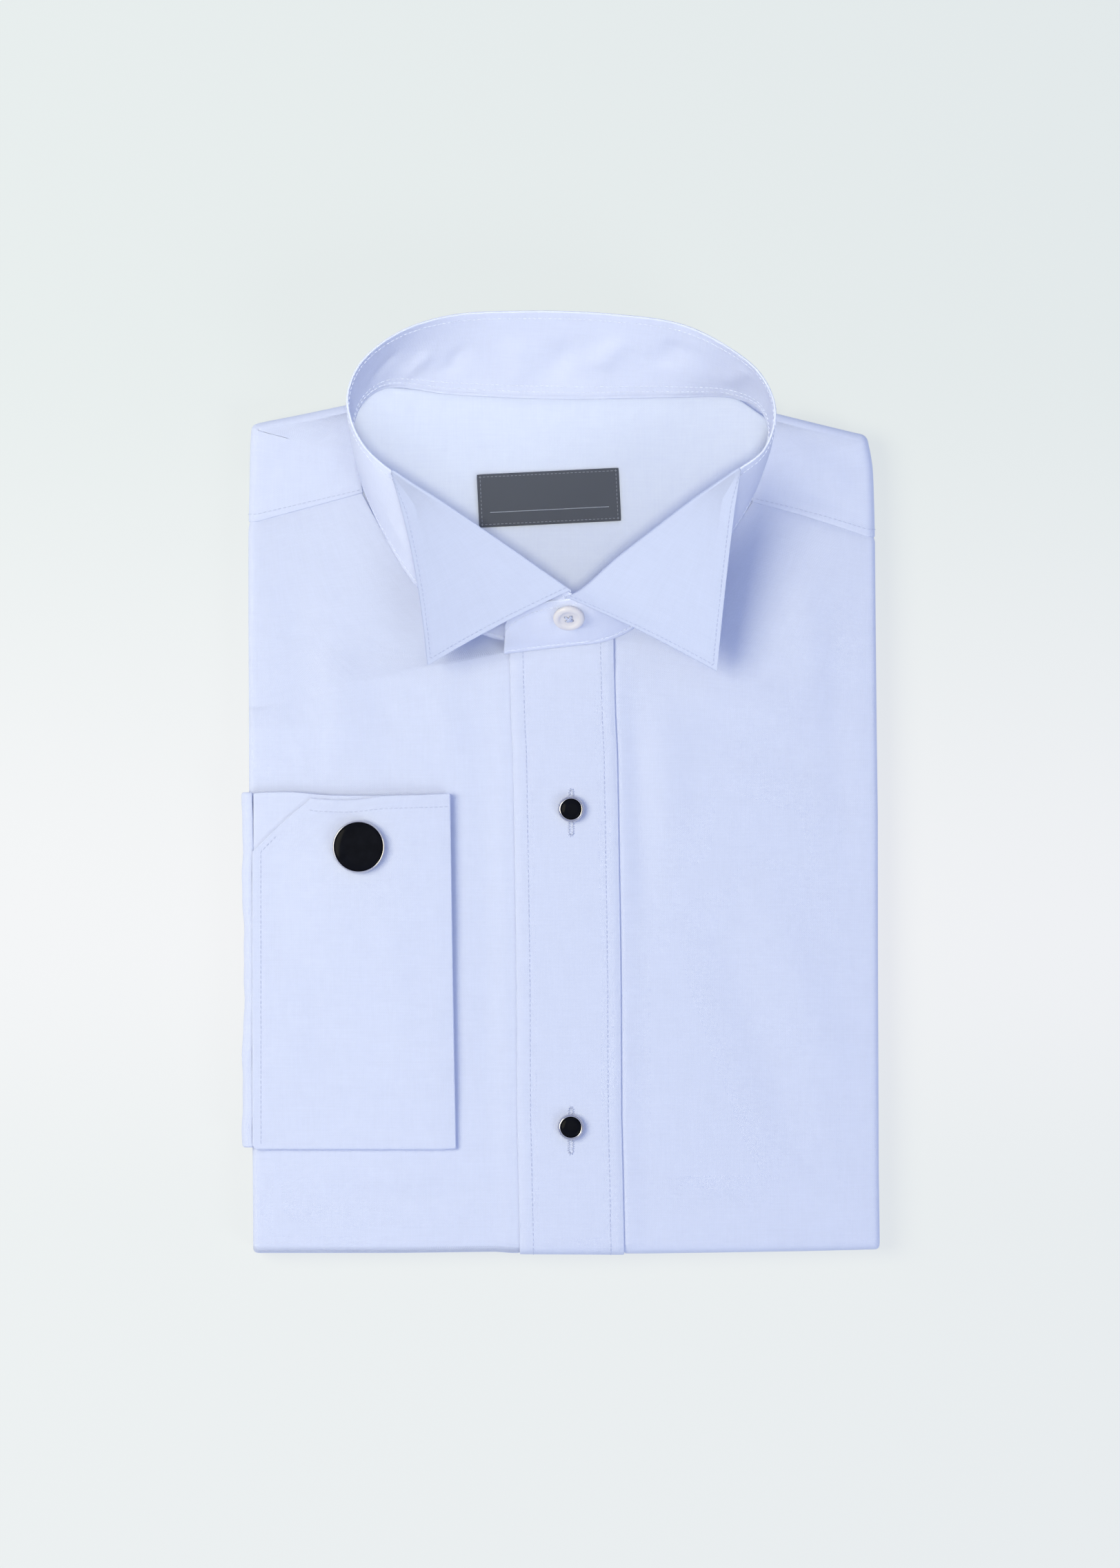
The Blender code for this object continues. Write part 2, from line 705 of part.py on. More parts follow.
def wing_section(root, rise, target, bow):
    """Middle points and normals of one rolled strip of a wing, from root to target."""
    up = rise.normalized()
    reach = target - root
    out = (reach - up * reach.dot(up)).normalized()
    far, high = reach.dot(out), reach.dot(up)
    distance = math.hypot(far - WING_ROLL, high)
    tangent = math.atan2(high, far - WING_ROLL) + math.acos(WING_ROLL / distance)
    last_angle = math.pi - tangent
    points, normals = [], []
    for step in range(6):
        angle = last_angle * step / 5
        normal = up * math.sin(angle) - out * math.cos(angle)
        points.append(root + out * WING_ROLL + normal * WING_ROLL)
        normals.append(normal)
    start, normal = points[-1], normals[-1]
    for step in range(1, 5):
        part = step / 4
        points.append(start.lerp(target, part) + normal * bow * math.sin(math.pi * part))
        normals.append(normal)
    return points, normals


def make_wing(name, first_x, last_x, tip, edge_bow):
    """One wing, folded out from the band's top edge and down to its point."""
    half = COLLAR_CLOTH / 2
    span = (0.03, 0.26) if first_x > 5.0 else (0.98, 0.75)
    first, last = (top_fraction(x, *span) for x in (first_x, last_x))
    tip = Vector(tip)
    seam, rise, normal = band_frame(last)
    heel = seam + rise
    outer_grid, inner_grid = [], []
    for station in range(WING_STATIONS):
        share = WING_LAST * station / (WING_STATIONS - 1)
        along = lerp(first, last, share)
        seam, rise, normal = band_frame(along)
        root = seam + rise + rise.normalized() * SEAM_GAP
        target = tip.lerp(heel, share)
        target.x -= math.copysign(edge_bow * math.sin(math.pi * share), target.x)
        points, normals = wing_section(root, rise, target, WING_BOW * (1.0 - share))
        outer_grid.append([p + n * half for p, n in zip(points, normals)])
        inner_grid.append([p - n * half for p, n in zip(points, normals)])
    return wall(name, "cotton", outer_grid, inner_grid)


def make_button():
    """The collar button: four holes in a dished middle, lying on the band's upper end."""
    seam, rise, normal = band_frame(BUTTON_ALONG)
    centre = band_point(BUTTON_ALONG, BUTTON_UP, COLLAR_CLOTH / 2 + SEAM_GAP)
    across = normal.cross(rise).normalized()
    turn = Matrix((across, normal.cross(across), normal)).transposed().to_4x4()
    place = Matrix.Translation(centre) @ turn
    button = turned("collar_button", "button_resin", BUTTON_PROFILE, SMALL_ROUND_STEPS, place)
    for number, (sx, sy) in enumerate(((-1, -1), (1, -1), (1, 1), (-1, 1))):
        shift = Matrix.Translation((BUTTON_HOLE_PITCH * sx, BUTTON_HOLE_PITCH * sy, 0.0))
        combine(button, rod(f"button_hole_{number}", BUTTON_HOLE_RADIUS, -1.0,
                            BUTTON_THICKNESS + 1.0, place @ shift, steps=BUTTON_HOLE_STEPS))
    return button


# ---------------------------------------------------------------- cuff and sleeve
def cuff_height(y):
    """Height of the flattened cuff's middle at y: its open end rides on the toggle."""
    part = (y - CUFF_LIFT_FROM) / (CUFF_LIFT_TO - CUFF_LIFT_FROM)
    return CUFF_REST_Z + CUFF_LIFT * smooth(part)


def cuff_section(y, turn):
    """Near and far (x, n) of the cuff's doubled cloth at y, from free edge to seam."""
    fold_x = read_table(CUFF_TURN_LINE, y)
    inner_face = CUFF_INNER_N + CUFF_CLOTH
    outer_face = inner_face + SEAM_GAP + CUFF_CLOTH
    middle = (CUFF_INNER_N + outer_face) / 2
    radius = (outer_face - CUFF_INNER_N) / 2
    bend_x = fold_x - radius
    free_x = CUFF_FREE_X + max(CUFF_BACK_SHIFT * turn, CUFF_MITRE - (CUFF_TOP_Y - y))
    near, far = [], []
    for step in range(4):
        x = lerp(free_x, bend_x, step / 3)
        near.append((x, outer_face))
        far.append((x, outer_face - CUFF_CLOTH))
    for step in range(1, 5):
        angle = math.pi / 2 - math.pi * step / 5
        for points, r in ((near, radius), (far, radius - CUFF_CLOTH)):
            points.append((bend_x + r * math.cos(angle), middle + r * math.sin(angle)))
    for step in range(4):
        x = lerp(bend_x, CUFF_SEAM_X, step / 3)
        near.append((x, CUFF_INNER_N))
        far.append((x, inner_face))
    return near, far


def make_cuff():
    """The double cuff: a flattened tube of doubled cloth, open at its top end."""
    mitre_y = CUFF_TOP_Y - CUFF_MITRE
    run = (CUFF_TOP_Y, CUFF_TOP_Y - 7.0, CUFF_TOP_Y - 14.0, mitre_y, *CUFF_ROWS)
    stations = [(y, 0.0) for y in run]
    stations += [(CUFF_FOLD_Y, step / 8) for step in range(9)]
    stations += [(y, 1.0) for y in reversed(run)]
    near_grid, far_grid = [], []
    for y, turn in stations:
        angle = math.pi * turn
        for grid, points in zip((near_grid, far_grid), cuff_section(y, turn)):
            grid.append([(x, y - n * math.sin(angle), cuff_height(y) + n * math.cos(angle))
                         for x, n in points])
    cuff = wall("right_cuff", "cotton", near_grid, far_grid)
    place = Matrix.Translation((*LINK_CENTRE, 0.0))
    combine(cuff, rod("link_hole", POST_HOLE_RADIUS, FRONT_TOP_Z, CUFF_REST_Z + 12.0, place))
    return cuff


def make_sleeve():
    """The flattened sleeve, from the cuff's seam round the packet's edge and in behind."""
    half = SLEEVE_CLOTH / 2
    middle_x = SLEEVE_OUT_X + half
    upper, lower = SLEEVE_UPPER_BEND, SLEEVE_LOWER_BEND
    low_y, high_y = SLEEVE_Y
    outer_grid, inner_grid = [], []
    for y in (low_y, *reversed(CUFF_ROWS), high_y):
        top = cuff_height(y)
        path = [((CUFF_SEAM_X - SEAM_GAP, top), (0.0, 1.0))]
        for step in range(5):
            angle = math.pi / 2 + math.pi / 2 * step / 4
            normal = (math.cos(angle), math.sin(angle))
            path.append(((middle_x + upper + upper * normal[0], top - upper + upper * normal[1]),
                         normal))
        for step in range(5):
            angle = math.pi + math.pi / 2 * step / 4
            normal = (math.cos(angle), math.sin(angle))
            path.append(((middle_x + lower + lower * normal[0],
                          SLEEVE_Z + lower + lower * normal[1]), normal))
        path.append(((SLEEVE_END_X, SLEEVE_Z), (0.0, -1.0)))
        outer_grid.append([(x + nx * half, y, z + nz * half) for (x, z), (nx, nz) in path])
        inner_grid.append([(x - nx * half, y, z - nz * half) for (x, z), (nx, nz) in path])
    return wall("right_sleeve", "cotton", outer_grid, inner_grid)


# ---------------------------------------------------------------- studs and link
def setting_profile(radius, stone_radius, height, seat):
    """Cup of a setting from the axis under it to the axis in its seat."""
    rim = radius - 0.35
    return ((0.0, 0.0), (rim - 0.6, 0.0), (rim, 0.35), (radius, height * 0.45),
            (rim + 0.1, height * 0.85), (stone_radius + SEAM_GAP + 0.35, height),
            (stone_radius + SEAM_GAP, height - 0.2), (stone_radius + SEAM_GAP, seat), (0.0, seat))


def stone_profile(stone_radius, low, height):
    """A low dome that fills the seat of its setting."""
    return ((0.0, low), (stone_radius, low), (stone_radius, height - 0.3),
            (stone_radius * 0.94, height), (stone_radius * 0.7, height + 0.25),
            (stone_radius * 0.35, height + 0.4), (0.0, height + 0.45))


def make_setting(name, centre, base, radius, stone_radius, height):
    """A metal cup with its black stone, standing at base."""
    seat = height * 0.35
    place = Matrix.Translation((*centre, base))
    cup = turned(name, "silver", setting_profile(radius, stone_radius, height, seat),
                 ROUND_STEPS, place)
    turned(name + "_stone", "onyx", stone_profile(stone_radius, seat + SEAM_GAP, height),
           ROUND_STEPS, place)
    return cup


def make_studs():
    """Shirt studs: each post goes through placket and right front to a round back."""
    base = PLACKET_TOP_Z + SEAM_GAP
    back_top = FRONT_TOP_Z - CLOTH - SEAM_GAP
    for name, x, y in STUD_CENTRES:
        cup = make_setting(name, (x, y), base, STUD_RADIUS, STUD_STONE_RADIUS, STUD_HEIGHT)
        place = Matrix.Translation((x, y, 0.0))
        low = back_top - STUD_BACK_THICKNESS
        profile = ((0.0, low), (STUD_BACK_RADIUS - 0.3, low), (STUD_BACK_RADIUS, low + 0.3),
                   (STUD_BACK_RADIUS, back_top), (POST_RADIUS, back_top),
                   (POST_RADIUS, base + 0.4), (0.0, base + 0.4))
        post = turned(name + "_post", "silver", profile, SMALL_ROUND_STEPS, place)
        post.hide_render = True
        post.display_type = "WIRE"
        combine(cup, post, "UNION")
        for cloth in ("placket", "front_right"):
            hole = rod(f"{name}_{cloth}_hole", POST_HOLE_RADIUS, FRONT_TOP_Z - 3.0,
                       PLACKET_TOP_Z + 2.0, place)
            combine(bpy.data.objects[cloth], hole)


def make_link():
    """The cufflink: setting, post through all four layers, and the toggle under them."""
    x, y = LINK_CENTRE
    base = cuff_height(y) + CUFF_INNER_N + 2 * (CUFF_CLOTH + SEAM_GAP)
    cup = make_setting("cufflink", LINK_CENTRE, base, LINK_RADIUS, LINK_STONE_RADIUS, LINK_HEIGHT)
    length, width, thick = LINK_TOGGLE
    low = FRONT_TOP_Z + SEAM_GAP
    place = Matrix.Translation((x, y, 0.0))
    post = turned("cufflink_post", "silver",
                  ((0.0, low + 0.4), (POST_RADIUS, low + 0.4), (POST_RADIUS, base + 0.5),
                   (0.0, base + 0.5)), SMALL_ROUND_STEPS, place)
    radius = width / 2
    outline = []
    for end, first_angle in ((length / 2 - radius, 180.0), (radius - length / 2, 0.0)):
        for step in range(7):
            angle = math.radians(first_angle - 30.0 * step)
            outline.append((x + radius * math.cos(angle), y + end + radius * math.sin(angle)))
    toggle = slab("cufflink_toggle", "silver", outline, low, low + thick)
    for piece in (post, toggle):
        piece.hide_render = True
        piece.display_type = "WIRE"
        combine(cup, piece, "UNION")


# ---------------------------------------------------------------- the whole shirt
def set_origin(root):
    """Moves the packet so that its origin is under the middle of its box."""
    bpy.context.view_layer.update()
    graph = bpy.context.evaluated_depsgraph_get()
    low, high = Vector((1e9,) * 3), Vector((-1e9,) * 3)
    for piece in bpy.data.objects:
        if piece.type != "MESH" or piece.hide_render:
            continue
        for corner in piece.evaluated_get(graph).bound_box:
            for axis in range(3):
                low[axis] = min(low[axis], corner[axis])
                high[axis] = max(high[axis], corner[axis])
    for piece in bpy.data.objects:
        if piece is not root:
            piece.parent = root
    root.location = (-(low.x + high.x) / 2, -(low.y + high.y) / 2, -low.z)


def main():
    clear_scene()
    root = bpy.data.objects.new("shirt", None)
    bpy.context.scene.collection.objects.link(root)
    make_core()
    make_front("front_right", -1)
    make_front("front_left", 1)
    make_placket()
    make_yoke()
    make_lining()
    make_label()
    make_band()
    for row in WINGS:
        make_wing(*row)
    make_button()
    make_cuff()
    make_sleeve()
    make_studs()
    make_link()
    set_origin(root)
    bpy.context.view_layer.update()


main()
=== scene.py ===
"""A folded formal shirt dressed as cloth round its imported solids.

The file is laid out as an add-on.  Sizes are in millimetres in the packet's own plan:
+X to the wearer's left, +Y towards the collar, +Z up from the table.  plan_to_frame
moves them into the frame, in metres.
"""
import json
import math

import bmesh
import bpy
import numpy as np
from bpy.props import FloatProperty, FloatVectorProperty, PointerProperty
from mathutils import Matrix, Vector

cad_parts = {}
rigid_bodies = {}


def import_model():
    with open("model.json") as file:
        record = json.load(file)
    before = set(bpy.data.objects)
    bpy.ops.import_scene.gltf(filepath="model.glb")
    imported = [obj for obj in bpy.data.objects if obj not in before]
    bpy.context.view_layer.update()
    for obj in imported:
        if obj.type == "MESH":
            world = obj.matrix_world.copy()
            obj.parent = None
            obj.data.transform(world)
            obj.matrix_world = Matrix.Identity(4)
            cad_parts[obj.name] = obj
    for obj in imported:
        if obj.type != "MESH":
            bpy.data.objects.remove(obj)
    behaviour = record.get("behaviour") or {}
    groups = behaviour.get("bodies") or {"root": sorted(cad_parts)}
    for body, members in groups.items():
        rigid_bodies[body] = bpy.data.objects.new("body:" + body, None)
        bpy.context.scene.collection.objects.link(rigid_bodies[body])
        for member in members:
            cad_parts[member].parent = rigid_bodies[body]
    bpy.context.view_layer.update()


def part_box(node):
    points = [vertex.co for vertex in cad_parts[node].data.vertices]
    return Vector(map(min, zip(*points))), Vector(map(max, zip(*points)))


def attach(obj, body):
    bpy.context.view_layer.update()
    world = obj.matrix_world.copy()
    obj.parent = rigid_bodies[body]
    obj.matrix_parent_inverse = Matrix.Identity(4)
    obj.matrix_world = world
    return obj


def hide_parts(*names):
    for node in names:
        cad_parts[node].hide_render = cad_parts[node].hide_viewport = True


bl_info = {
    "name": "Folded Formal Shirt",
    "version": (1, 0, 0),
    "blender": (4, 5, 0),
    "location": "View3D > Sidebar > Shirt",
    "description": "Dresses the folded shirt's solids in cloth, stitching, studs and light",
    "category": "Add Mesh",
}

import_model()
BODY = "root"
MM = 0.001
SHARP_ANGLE = math.radians(50.0)    # edges steeper than this stay sharp on turned pieces
CORNER_SHARE = 0.45         # how much of a side an eased corner may take
SQUARE = ((-1, -1), (1, -1), (1, 1), (-1, 1))

# ---------------------------------------------------------------- plan of the packet (mm)
FOLD_AXIS_Y = -166.55       # axis of the bottom fold
FOLD_AXIS_Z = 5.5
FOLD_SQUASH = 0.57
FOLD_POWER = 0.7            # below 1, a fold's section is squarer than an ellipse
FRONT_N_TOP = 7.5           # face of the fronts above that axis, and below it
FRONT_N_UNDER = 5.5
RETURN_N = 1.5              # face of the turned-in sides
RETURN_REACH = 75.0
PLACKET_N_TOP = 9.0
PLACKET_WIDTH = 38.0
PLACKET_LAP = 16.6          # from the placket's middle to the edge of the front under it
FLAP_END = 112.0
FRONT_TOP_Z = FOLD_AXIS_Z + FRONT_N_TOP
PLACKET_TOP_Z = FOLD_AXIS_Z + PLACKET_N_TOP
PLATE_Z = 7.0
LINING_Z = 8.5
LABEL_Z = 9.8

# y, left edge x, right edge x
SIDE_EDGES = np.array((
    (-175.0, -111.9, 115.75),
    (-140.0, -112.1, 115.3),
    (-60.0, -113.0, 115.0),
    (-12.0, -113.4, 114.95),
    (20.0, -113.5, 114.55),
    (60.0, -113.7, 114.15),
    (90.0, -113.7, 113.9),
    (130.0, -112.9, 113.0),
))
# y, middle x of the placket
PLACKET_LINE = np.array((
    (-175.0, 4.0), (-166.2, 3.85), (-146.2, 3.45), (-121.2, 2.85), (-96.2, 2.75), (-76.2, 2.68),
    (-51.2, 2.38), (-16.2, 1.8), (11.2, 1.3), (23.8, 0.65), (48.8, 0.05),
))
# x, y of a front's neck edge, y where the same row meets the side
NECK_ROWS = {
    -1: (
        (-72.3, 105.0, 94.6),
        (-62.8, 87.8, 79.0),
        (-52.6, 71.8, 66.0),
        (-38.0, 58.8, 54.0),
        (-24.0, 52.6, 46.0),
        (-10.0, 50.7, 40.0),
        (3.0, 51.8, 34.0),
        (15.6, 53.4, 28.0),
        (16.0, 43.0, 26.0),
        (16.4, 31.0, 23.0),
    ),
    1: (
        (69.3, 101.7, 89.1),
        (61.5, 90.4, 80.0),
        (45.0, 72.2, 64.0),
        (27.0, 56.8, 50.0),
        (19.4, 52.9, 42.0),
        (17.2, 51.6, 38.0),
        (17.0, 42.0, 32.0),
        (17.1, 31.0, 26.0),
    ),
}
# x, y of the yoke's shoulder fold, from its seam with the front to the neck
SHOULDER_FOLD = {
    -1: (
        (-113.6, 95.1),
        (-113.3, 108.0),
        (-113.1, 119.0),
        (-112.8, 126.2),
        (-112.2, 129.4),
        (-110.6, 130.4),
        (-107.6, 131.1),
        (-95.0, 133.6),
        (-78.4, 137.1),
    ),
    1: (
        (113.9, 89.6),
        (113.6, 102.0),
        (113.1, 114.0),
        (112.4, 119.0),
        (111.7, 122.4),
        (110.9, 125.2),
        (109.4, 126.4),
        (106.6, 127.1),
        (95.0, 129.9),
        (78.4, 134.0),
    ),
}
# x, y of the yoke's neck edge, from the same seam to the shoulder
NECK_EDGE = {
    -1: ((-72.3, 105.4), (-74.4, 119.0), (-75.4, 127.0), (-76.6, 132.0)),
    1: ((69.4, 102.1), (74.0, 118.0), (75.2, 126.0), (76.4, 130.4)),
}
# x, y of the back part of the yoke, clockwise
YOKE_PLATE = (
    (-74.7, 96.5), (-74.7, 137.6), (-67.0, 145.0), (-40.0, 142.6), (0.0, 140.9),
    (40.0, 141.5), (63.0, 141.5), (74.7, 135.6), (74.7, 96.5),
)
# x, y of the inner yoke, clockwise
LINING_OUTLINE = (
    (-84.0, 82.0), (-84.0, 130.2), (-77.2, 132.4), (-67.0, 144.0), (-40.0, 142.0),
    (0.0, 140.3), (40.0, 140.9), (62.6, 140.6), (77.2, 130.4), (84.0, 128.2),
    (84.0, 82.0), (62.0, 54.0), (34.0, 43.0), (-34.0, 43.0), (-62.0, 54.0),
)
# x, y of the hidden layers, clockwise
CORE_OUTLINE = (
    (-112.0, FOLD_AXIS_Y), (-113.0, 20.0), (-112.4, 129.0), (0.0, 136.8),
    (112.6, 125.4), (114.0, 20.0), (115.0, FOLD_AXIS_Y),
)
# x, y, z of the collar seam, from the upper end round the neck to the lower end
SEAM_LINE = (
    (-20.5, 47.0, 15.4), (-9.0, 48.4, 15.4), (3.0, 49.8, 15.4), (16.0, 51.6, 15.4),
    (27.0, 56.8, 14.4), (45.0, 72.2, 14.0), (61.5, 90.4, 13.9), (69.5, 104.4, 13.9),
    (74.0, 118.0, 13.9), (75.3, 128.0, 13.7), (72.0, 135.8, 11.6), (62.5, 139.9, 10.6),
    (40.0, 140.2, 10.5), (0.0, 139.6, 10.5), (-40.0, 141.3, 10.5), (-63.5, 143.6, 10.6),
    (-71.8, 138.4, 11.8), (-75.4, 130.0, 13.7), (-74.4, 119.0, 13.9), (-71.6, 107.0, 13.9),
    (-62.8, 87.8, 13.9), (-52.6, 71.8, 13.9), (-38.0, 58.8, 13.9), (-24.0, 52.6, 13.9),
    (-10.0, 50.7, 13.9), (3.0, 51.8, 13.9), (15.0, 53.7, 13.9),
)
# x, y, z of the band's top edge, in the same order
TOP_LINE = (
    (-20.2, 56.6, 26.8), (-19.6, 58.6, 29.0), (-17.5, 60.3, 31.0), (-12.0, 63.5, 32.6),
    (-4.0, 65.4, 34.4), (1.0, 65.8, 35.6), (4.2, 66.7, 37.0), (8.0, 69.0, 39.0),
    (19.0, 78.8, 40.6), (32.0, 89.0, 41.0),
    (47.0, 100.6, 41.2), (63.4, 112.2, 42.0), (72.0, 118.6, 44.4), (75.9, 127.6, 47.4),
    (75.8, 136.0, 48.4), (71.3, 145.6, 47.0), (63.1, 153.4, 44.6), (44.0, 163.8, 41.6),
    (17.3, 168.0, 40.0), (-13.3, 169.0, 40.0), (-40.4, 167.2, 41.6), (-58.8, 160.7, 44.6),
    (-71.8, 149.8, 47.4), (-76.3, 138.6, 48.6), (-75.2, 129.8, 47.6), (-70.6, 120.6, 45.0),
    (-60.2, 111.2, 42.0), (-44.5, 100.6, 41.2), (-28.0, 89.4, 41.0), (-12.5, 78.8, 40.4),
    (2.2, 68.8, 38.8), (8.8, 64.8, 33.0), (13.6, 60.2, 25.0),
)
BAND_BOW = 0.7
BAND_STATIONS = 300
WING_ROLL = 0.85            # radius of the fold at the head of each wing
WING_BOW = 1.6
WING_LAST = 0.985           # where a wing stops short of the far end of its fold
# name, first x and last x of the fold, part of the band it lies in, tip, bow of the outer edge
WINGS = (
    ("collar_wing_left", 1.2, 64.0, (0.03, 0.26), (56.1, 40.0, 25.5), 0.4),
    ("collar_wing_right", 3.4, -61.0, (0.98, 0.75), (-48.4, 42.2, 24.5), 1.9),
)
LABEL_SIZE = (51.6, 19.3)
LABEL_THICK = 0.5
LABEL_ROWS, LABEL_COLUMNS = 23, 53
LABEL_CENTRE = (-4.5, 103.5)
LABEL_TURN = 2.8

CUFF_TOP_Y = -3.6
CUFF_FOLD_Y = -131.3
CUFF_REST_Z = FRONT_TOP_Z + 1.9
CUFF_SETTLE = 0.6           # how much lower its middle lies at its lower fold
CUFF_LIFT = 1.7             # how far the link's toggle lifts it
CUFF_LIFT_FROM = -88.0
CUFF_LIFT_TO = -36.0
CUFF_INNER_N = 0.40         # middle of the inner and outer layer, from the cuff's middle
CUFF_OUTER_N = 1.25
CUFF_SLOPE = 0.3            # how much its outer layer sinks towards the long fold
CUFF_STRETCH = 1.6          # how much longer than round its lower fold is
CUFF_STEP = 1.5             # how far the outer layer's top edge lies below the inner layer's
CUFF_FREE_X = -112.2
CUFF_BACK_SHIFT = 3.2
CUFF_SEAM_X = -111.8
CUFF_MITRE = 21.5
CUFF_TURN_LINE = np.array(((-134.0, -37.9), (-70.0, -39.0), (-3.0, -40.0)))
SLEEVE_OUT_X = -115.7
SLEEVE_END_X = -95.5
SLEEVE_Z = 5.5
SLEEVE_Y = (-132.6, -3.2)
SLEEVE_HALF = 0.50          # from the sleeve's middle to the middle of each of its layers
SLEEVE_UPPER_BEND = 2.0
SLEEVE_LOWER_BEND = 2.0

LINK_CENTRE = (-73.3, -23.2)
STUDS = (("stud_upper", 3.5, -9.6), ("stud_lower", 3.4, -124.8))
BUTTON_ALONG = 0.0605
BUTTON_UP = 0.70
BUTTON_TILT = 7.0

# the packet's plan starts at the upper stud
_low, _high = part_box("stud_upper")
PLAN_SHIFT = np.array((
    (_low.x + _high.x) / 2 / MM - STUDS[0][1],
    (_low.y + _high.y) / 2 / MM - STUDS[0][2],
    0.0,
))


# ---------------------------------------------------------------- values a user changes
class ShirtSizes(bpy.types.PropertyGroup):
    """Sizes of the cloth and its sewing."""
    cloth: FloatProperty(name="Cloth", description="Wall of fronts, placket and yoke",
                         default=0.0008, min=0.0003, max=0.0012, unit="LENGTH")
    collar_cloth: FloatProperty(name="Collar cloth", description="Wall of the interlined collar",
                                default=0.0008, min=0.0005, max=0.0014, unit="LENGTH")
    cuff_cloth: FloatProperty(name="Cuff cloth", description="Wall of each layer of the cuff",
                              default=0.00045, min=0.0003, max=0.0006, unit="LENGTH")
    stitch: FloatProperty(name="Stitch length", description="Length of one stitch on top",
                          default=0.00135, min=0.0008, max=0.004, unit="LENGTH")
    stitch_gap: FloatProperty(name="Stitch gap", description="Gap between two stitches",
                              default=0.00045, min=0.0002, max=0.002, unit="LENGTH")
    thread: FloatProperty(name="Thread", description="Thickness of the sewing thread",
                          default=0.00034, min=0.0001, max=0.001, unit="LENGTH")
    weave: FloatProperty(name="Weave pitch", description="Distance between two threads of the cloth",
                         default=0.00034, min=0.0001, max=0.002, unit="LENGTH")
    crease: FloatProperty(name="Creases", description="Share of the creases' depth that is kept",
                          default=1.0, min=0.0, max=1.5, subtype="FACTOR")


def colour(name, words, value):
    return FloatVectorProperty(name=name, description=words, default=value, size=3,
                               min=0.0, max=1.0, subtype="COLOR")


class ShirtColours(bpy.types.PropertyGroup):
    """Colours of the shirt and the table."""
    cotton: colour("Cotton", "Pale blue shirting", (0.632, 0.684, 0.866))
    # painted light: the inner yoke is the same shirting as the cotton, in a lighter colour that brightens
    # the shaded inside of the neck
    lining: colour("Inner yoke", "Shirting inside the neck", (0.75, 0.805, 1.0))
    # painted shade: the band's shirting is the cotton in a darker colour, offsetting the lamp that lights
    # only the neck pieces
    collar: colour("Collar", "Fused shirting of the collar band", (0.535, 0.585, 0.79))
    thread: colour("Thread", "Sewing thread", (0.54, 0.59, 0.78))
    label: colour("Label", "Ground of the woven label", (0.084, 0.100, 0.160))
    label_thread: colour("Label thread", "Thread round the label", (0.42, 0.45, 0.52))
    button: colour("Button", "Cream resin", (0.74, 0.72, 0.755))
    silver: colour("Silver", "Polished metal", (0.62, 0.60, 0.615))
    onyx: colour("Onyx", "Black stone", (0.005, 0.0055, 0.008))
    table: colour("Table", "Pale table top", (0.872, 0.882, 0.892))


# ---------------------------------------------------------------- small helpers
def plan_to_frame(points):
    return (np.asarray(points, float) + PLAN_SHIFT) * MM


def smooth(part):
    part = np.clip(part, 0.0, 1.0)
    return part * part * (3.0 - 2.0 * part)


def unit(vectors):
    length = np.linalg.norm(vectors, axis=-1, keepdims=True)
    return vectors / np.maximum(length, 1e-9)


def side_x(side, y):
    return np.interp(y, SIDE_EDGES[:, 0], SIDE_EDGES[:, 1 if side < 0 else 2])


def placket_x(y):
    return np.interp(y, PLACKET_LINE[:, 0], PLACKET_LINE[:, 1])


def running(steps):
    """Running sum of steps, from 0."""
    return np.concatenate(([0.0], np.cumsum(steps)))


def bell(at, middle, width):
    return np.exp(-((at - middle) / width) ** 2)


def half_turn(count):
    """Angles of count points inside a half-round, from its top to its bottom."""
    return math.pi / 2 - math.pi * np.arange(1, count + 1) / (count + 1)


def linked(name, data):
    """A new object with its data, in the scene."""
    made = bpy.data.objects.new(name, data)
    bpy.context.scene.collection.objects.link(made)
    return made


def evaluated_mesh(piece):
    """The piece's mesh as its modifiers leave it."""
    bpy.context.view_layer.update()
    graph = bpy.context.evaluated_depsgraph_get()
    return bpy.data.meshes.new_from_object(piece.evaluated_get(graph))


def resample(line, count):
    """count points at equal steps along a polyline."""
    line = np.asarray(line, float)
    reach = running(np.linalg.norm(np.diff(line, axis=0), axis=1))
    goals = np.linspace(0.0, reach[-1], count)
    return np.stack([np.interp(goals, reach, line[:, k]) for k in range(line.shape[1])], axis=1)


def spline(points, count):
    """count points at equal steps along a centripetal Catmull-Rom curve."""
    dots = np.asarray(points, float)
    dots = np.vstack((2 * dots[0] - dots[1], dots, 2 * dots[-1] - dots[-2]))
    fine = []
    for a, b, c, d in zip(dots, dots[1:], dots[2:], dots[3:]):
        ka = 0.0
        kb = ka + np.linalg.norm(b - a) ** 0.5
        kc = kb + np.linalg.norm(c - b) ** 0.5
        kd = kc + np.linalg.norm(d - c) ** 0.5
        for k in np.linspace(kb, kc, 16, endpoint=False):
            ab = a + (b - a) * (k - ka) / (kb - ka)
            bc = b + (c - b) * (k - kb) / (kc - kb)
            cd = c + (d - c) * (k - kc) / (kd - kc)
            left = ab + (bc - ab) * (k - ka) / (kc - ka)
            right = bc + (cd - bc) * (k - kb) / (kd - kb)
            fine.append(left + (right - left) * (k - kb) / (kc - kb))
    fine.append(dots[-2])
    return resample(fine, count)


def creases(table, u, v):
    """Height of soft creases: rows of u0, v0, u1, v1, width, height, faded at both ends."""
    total = np.zeros(np.broadcast(u, v).shape)
    for u0, v0, u1, v1, width, height in table:
        du, dv = u1 - u0, v1 - v0
        length = du * du + dv * dv
        part = ((u - u0) * du + (v - v0) * dv) / length
        off = ((u - u0) * dv - (v - v0) * du) / math.sqrt(length)
        ends = smooth(part * 3.0) * smooth((1.0 - part) * 3.0)
        total = total + height * ends * bell(off, 0.0, width)
    return total * bpy.context.scene.shirt_sizes.crease


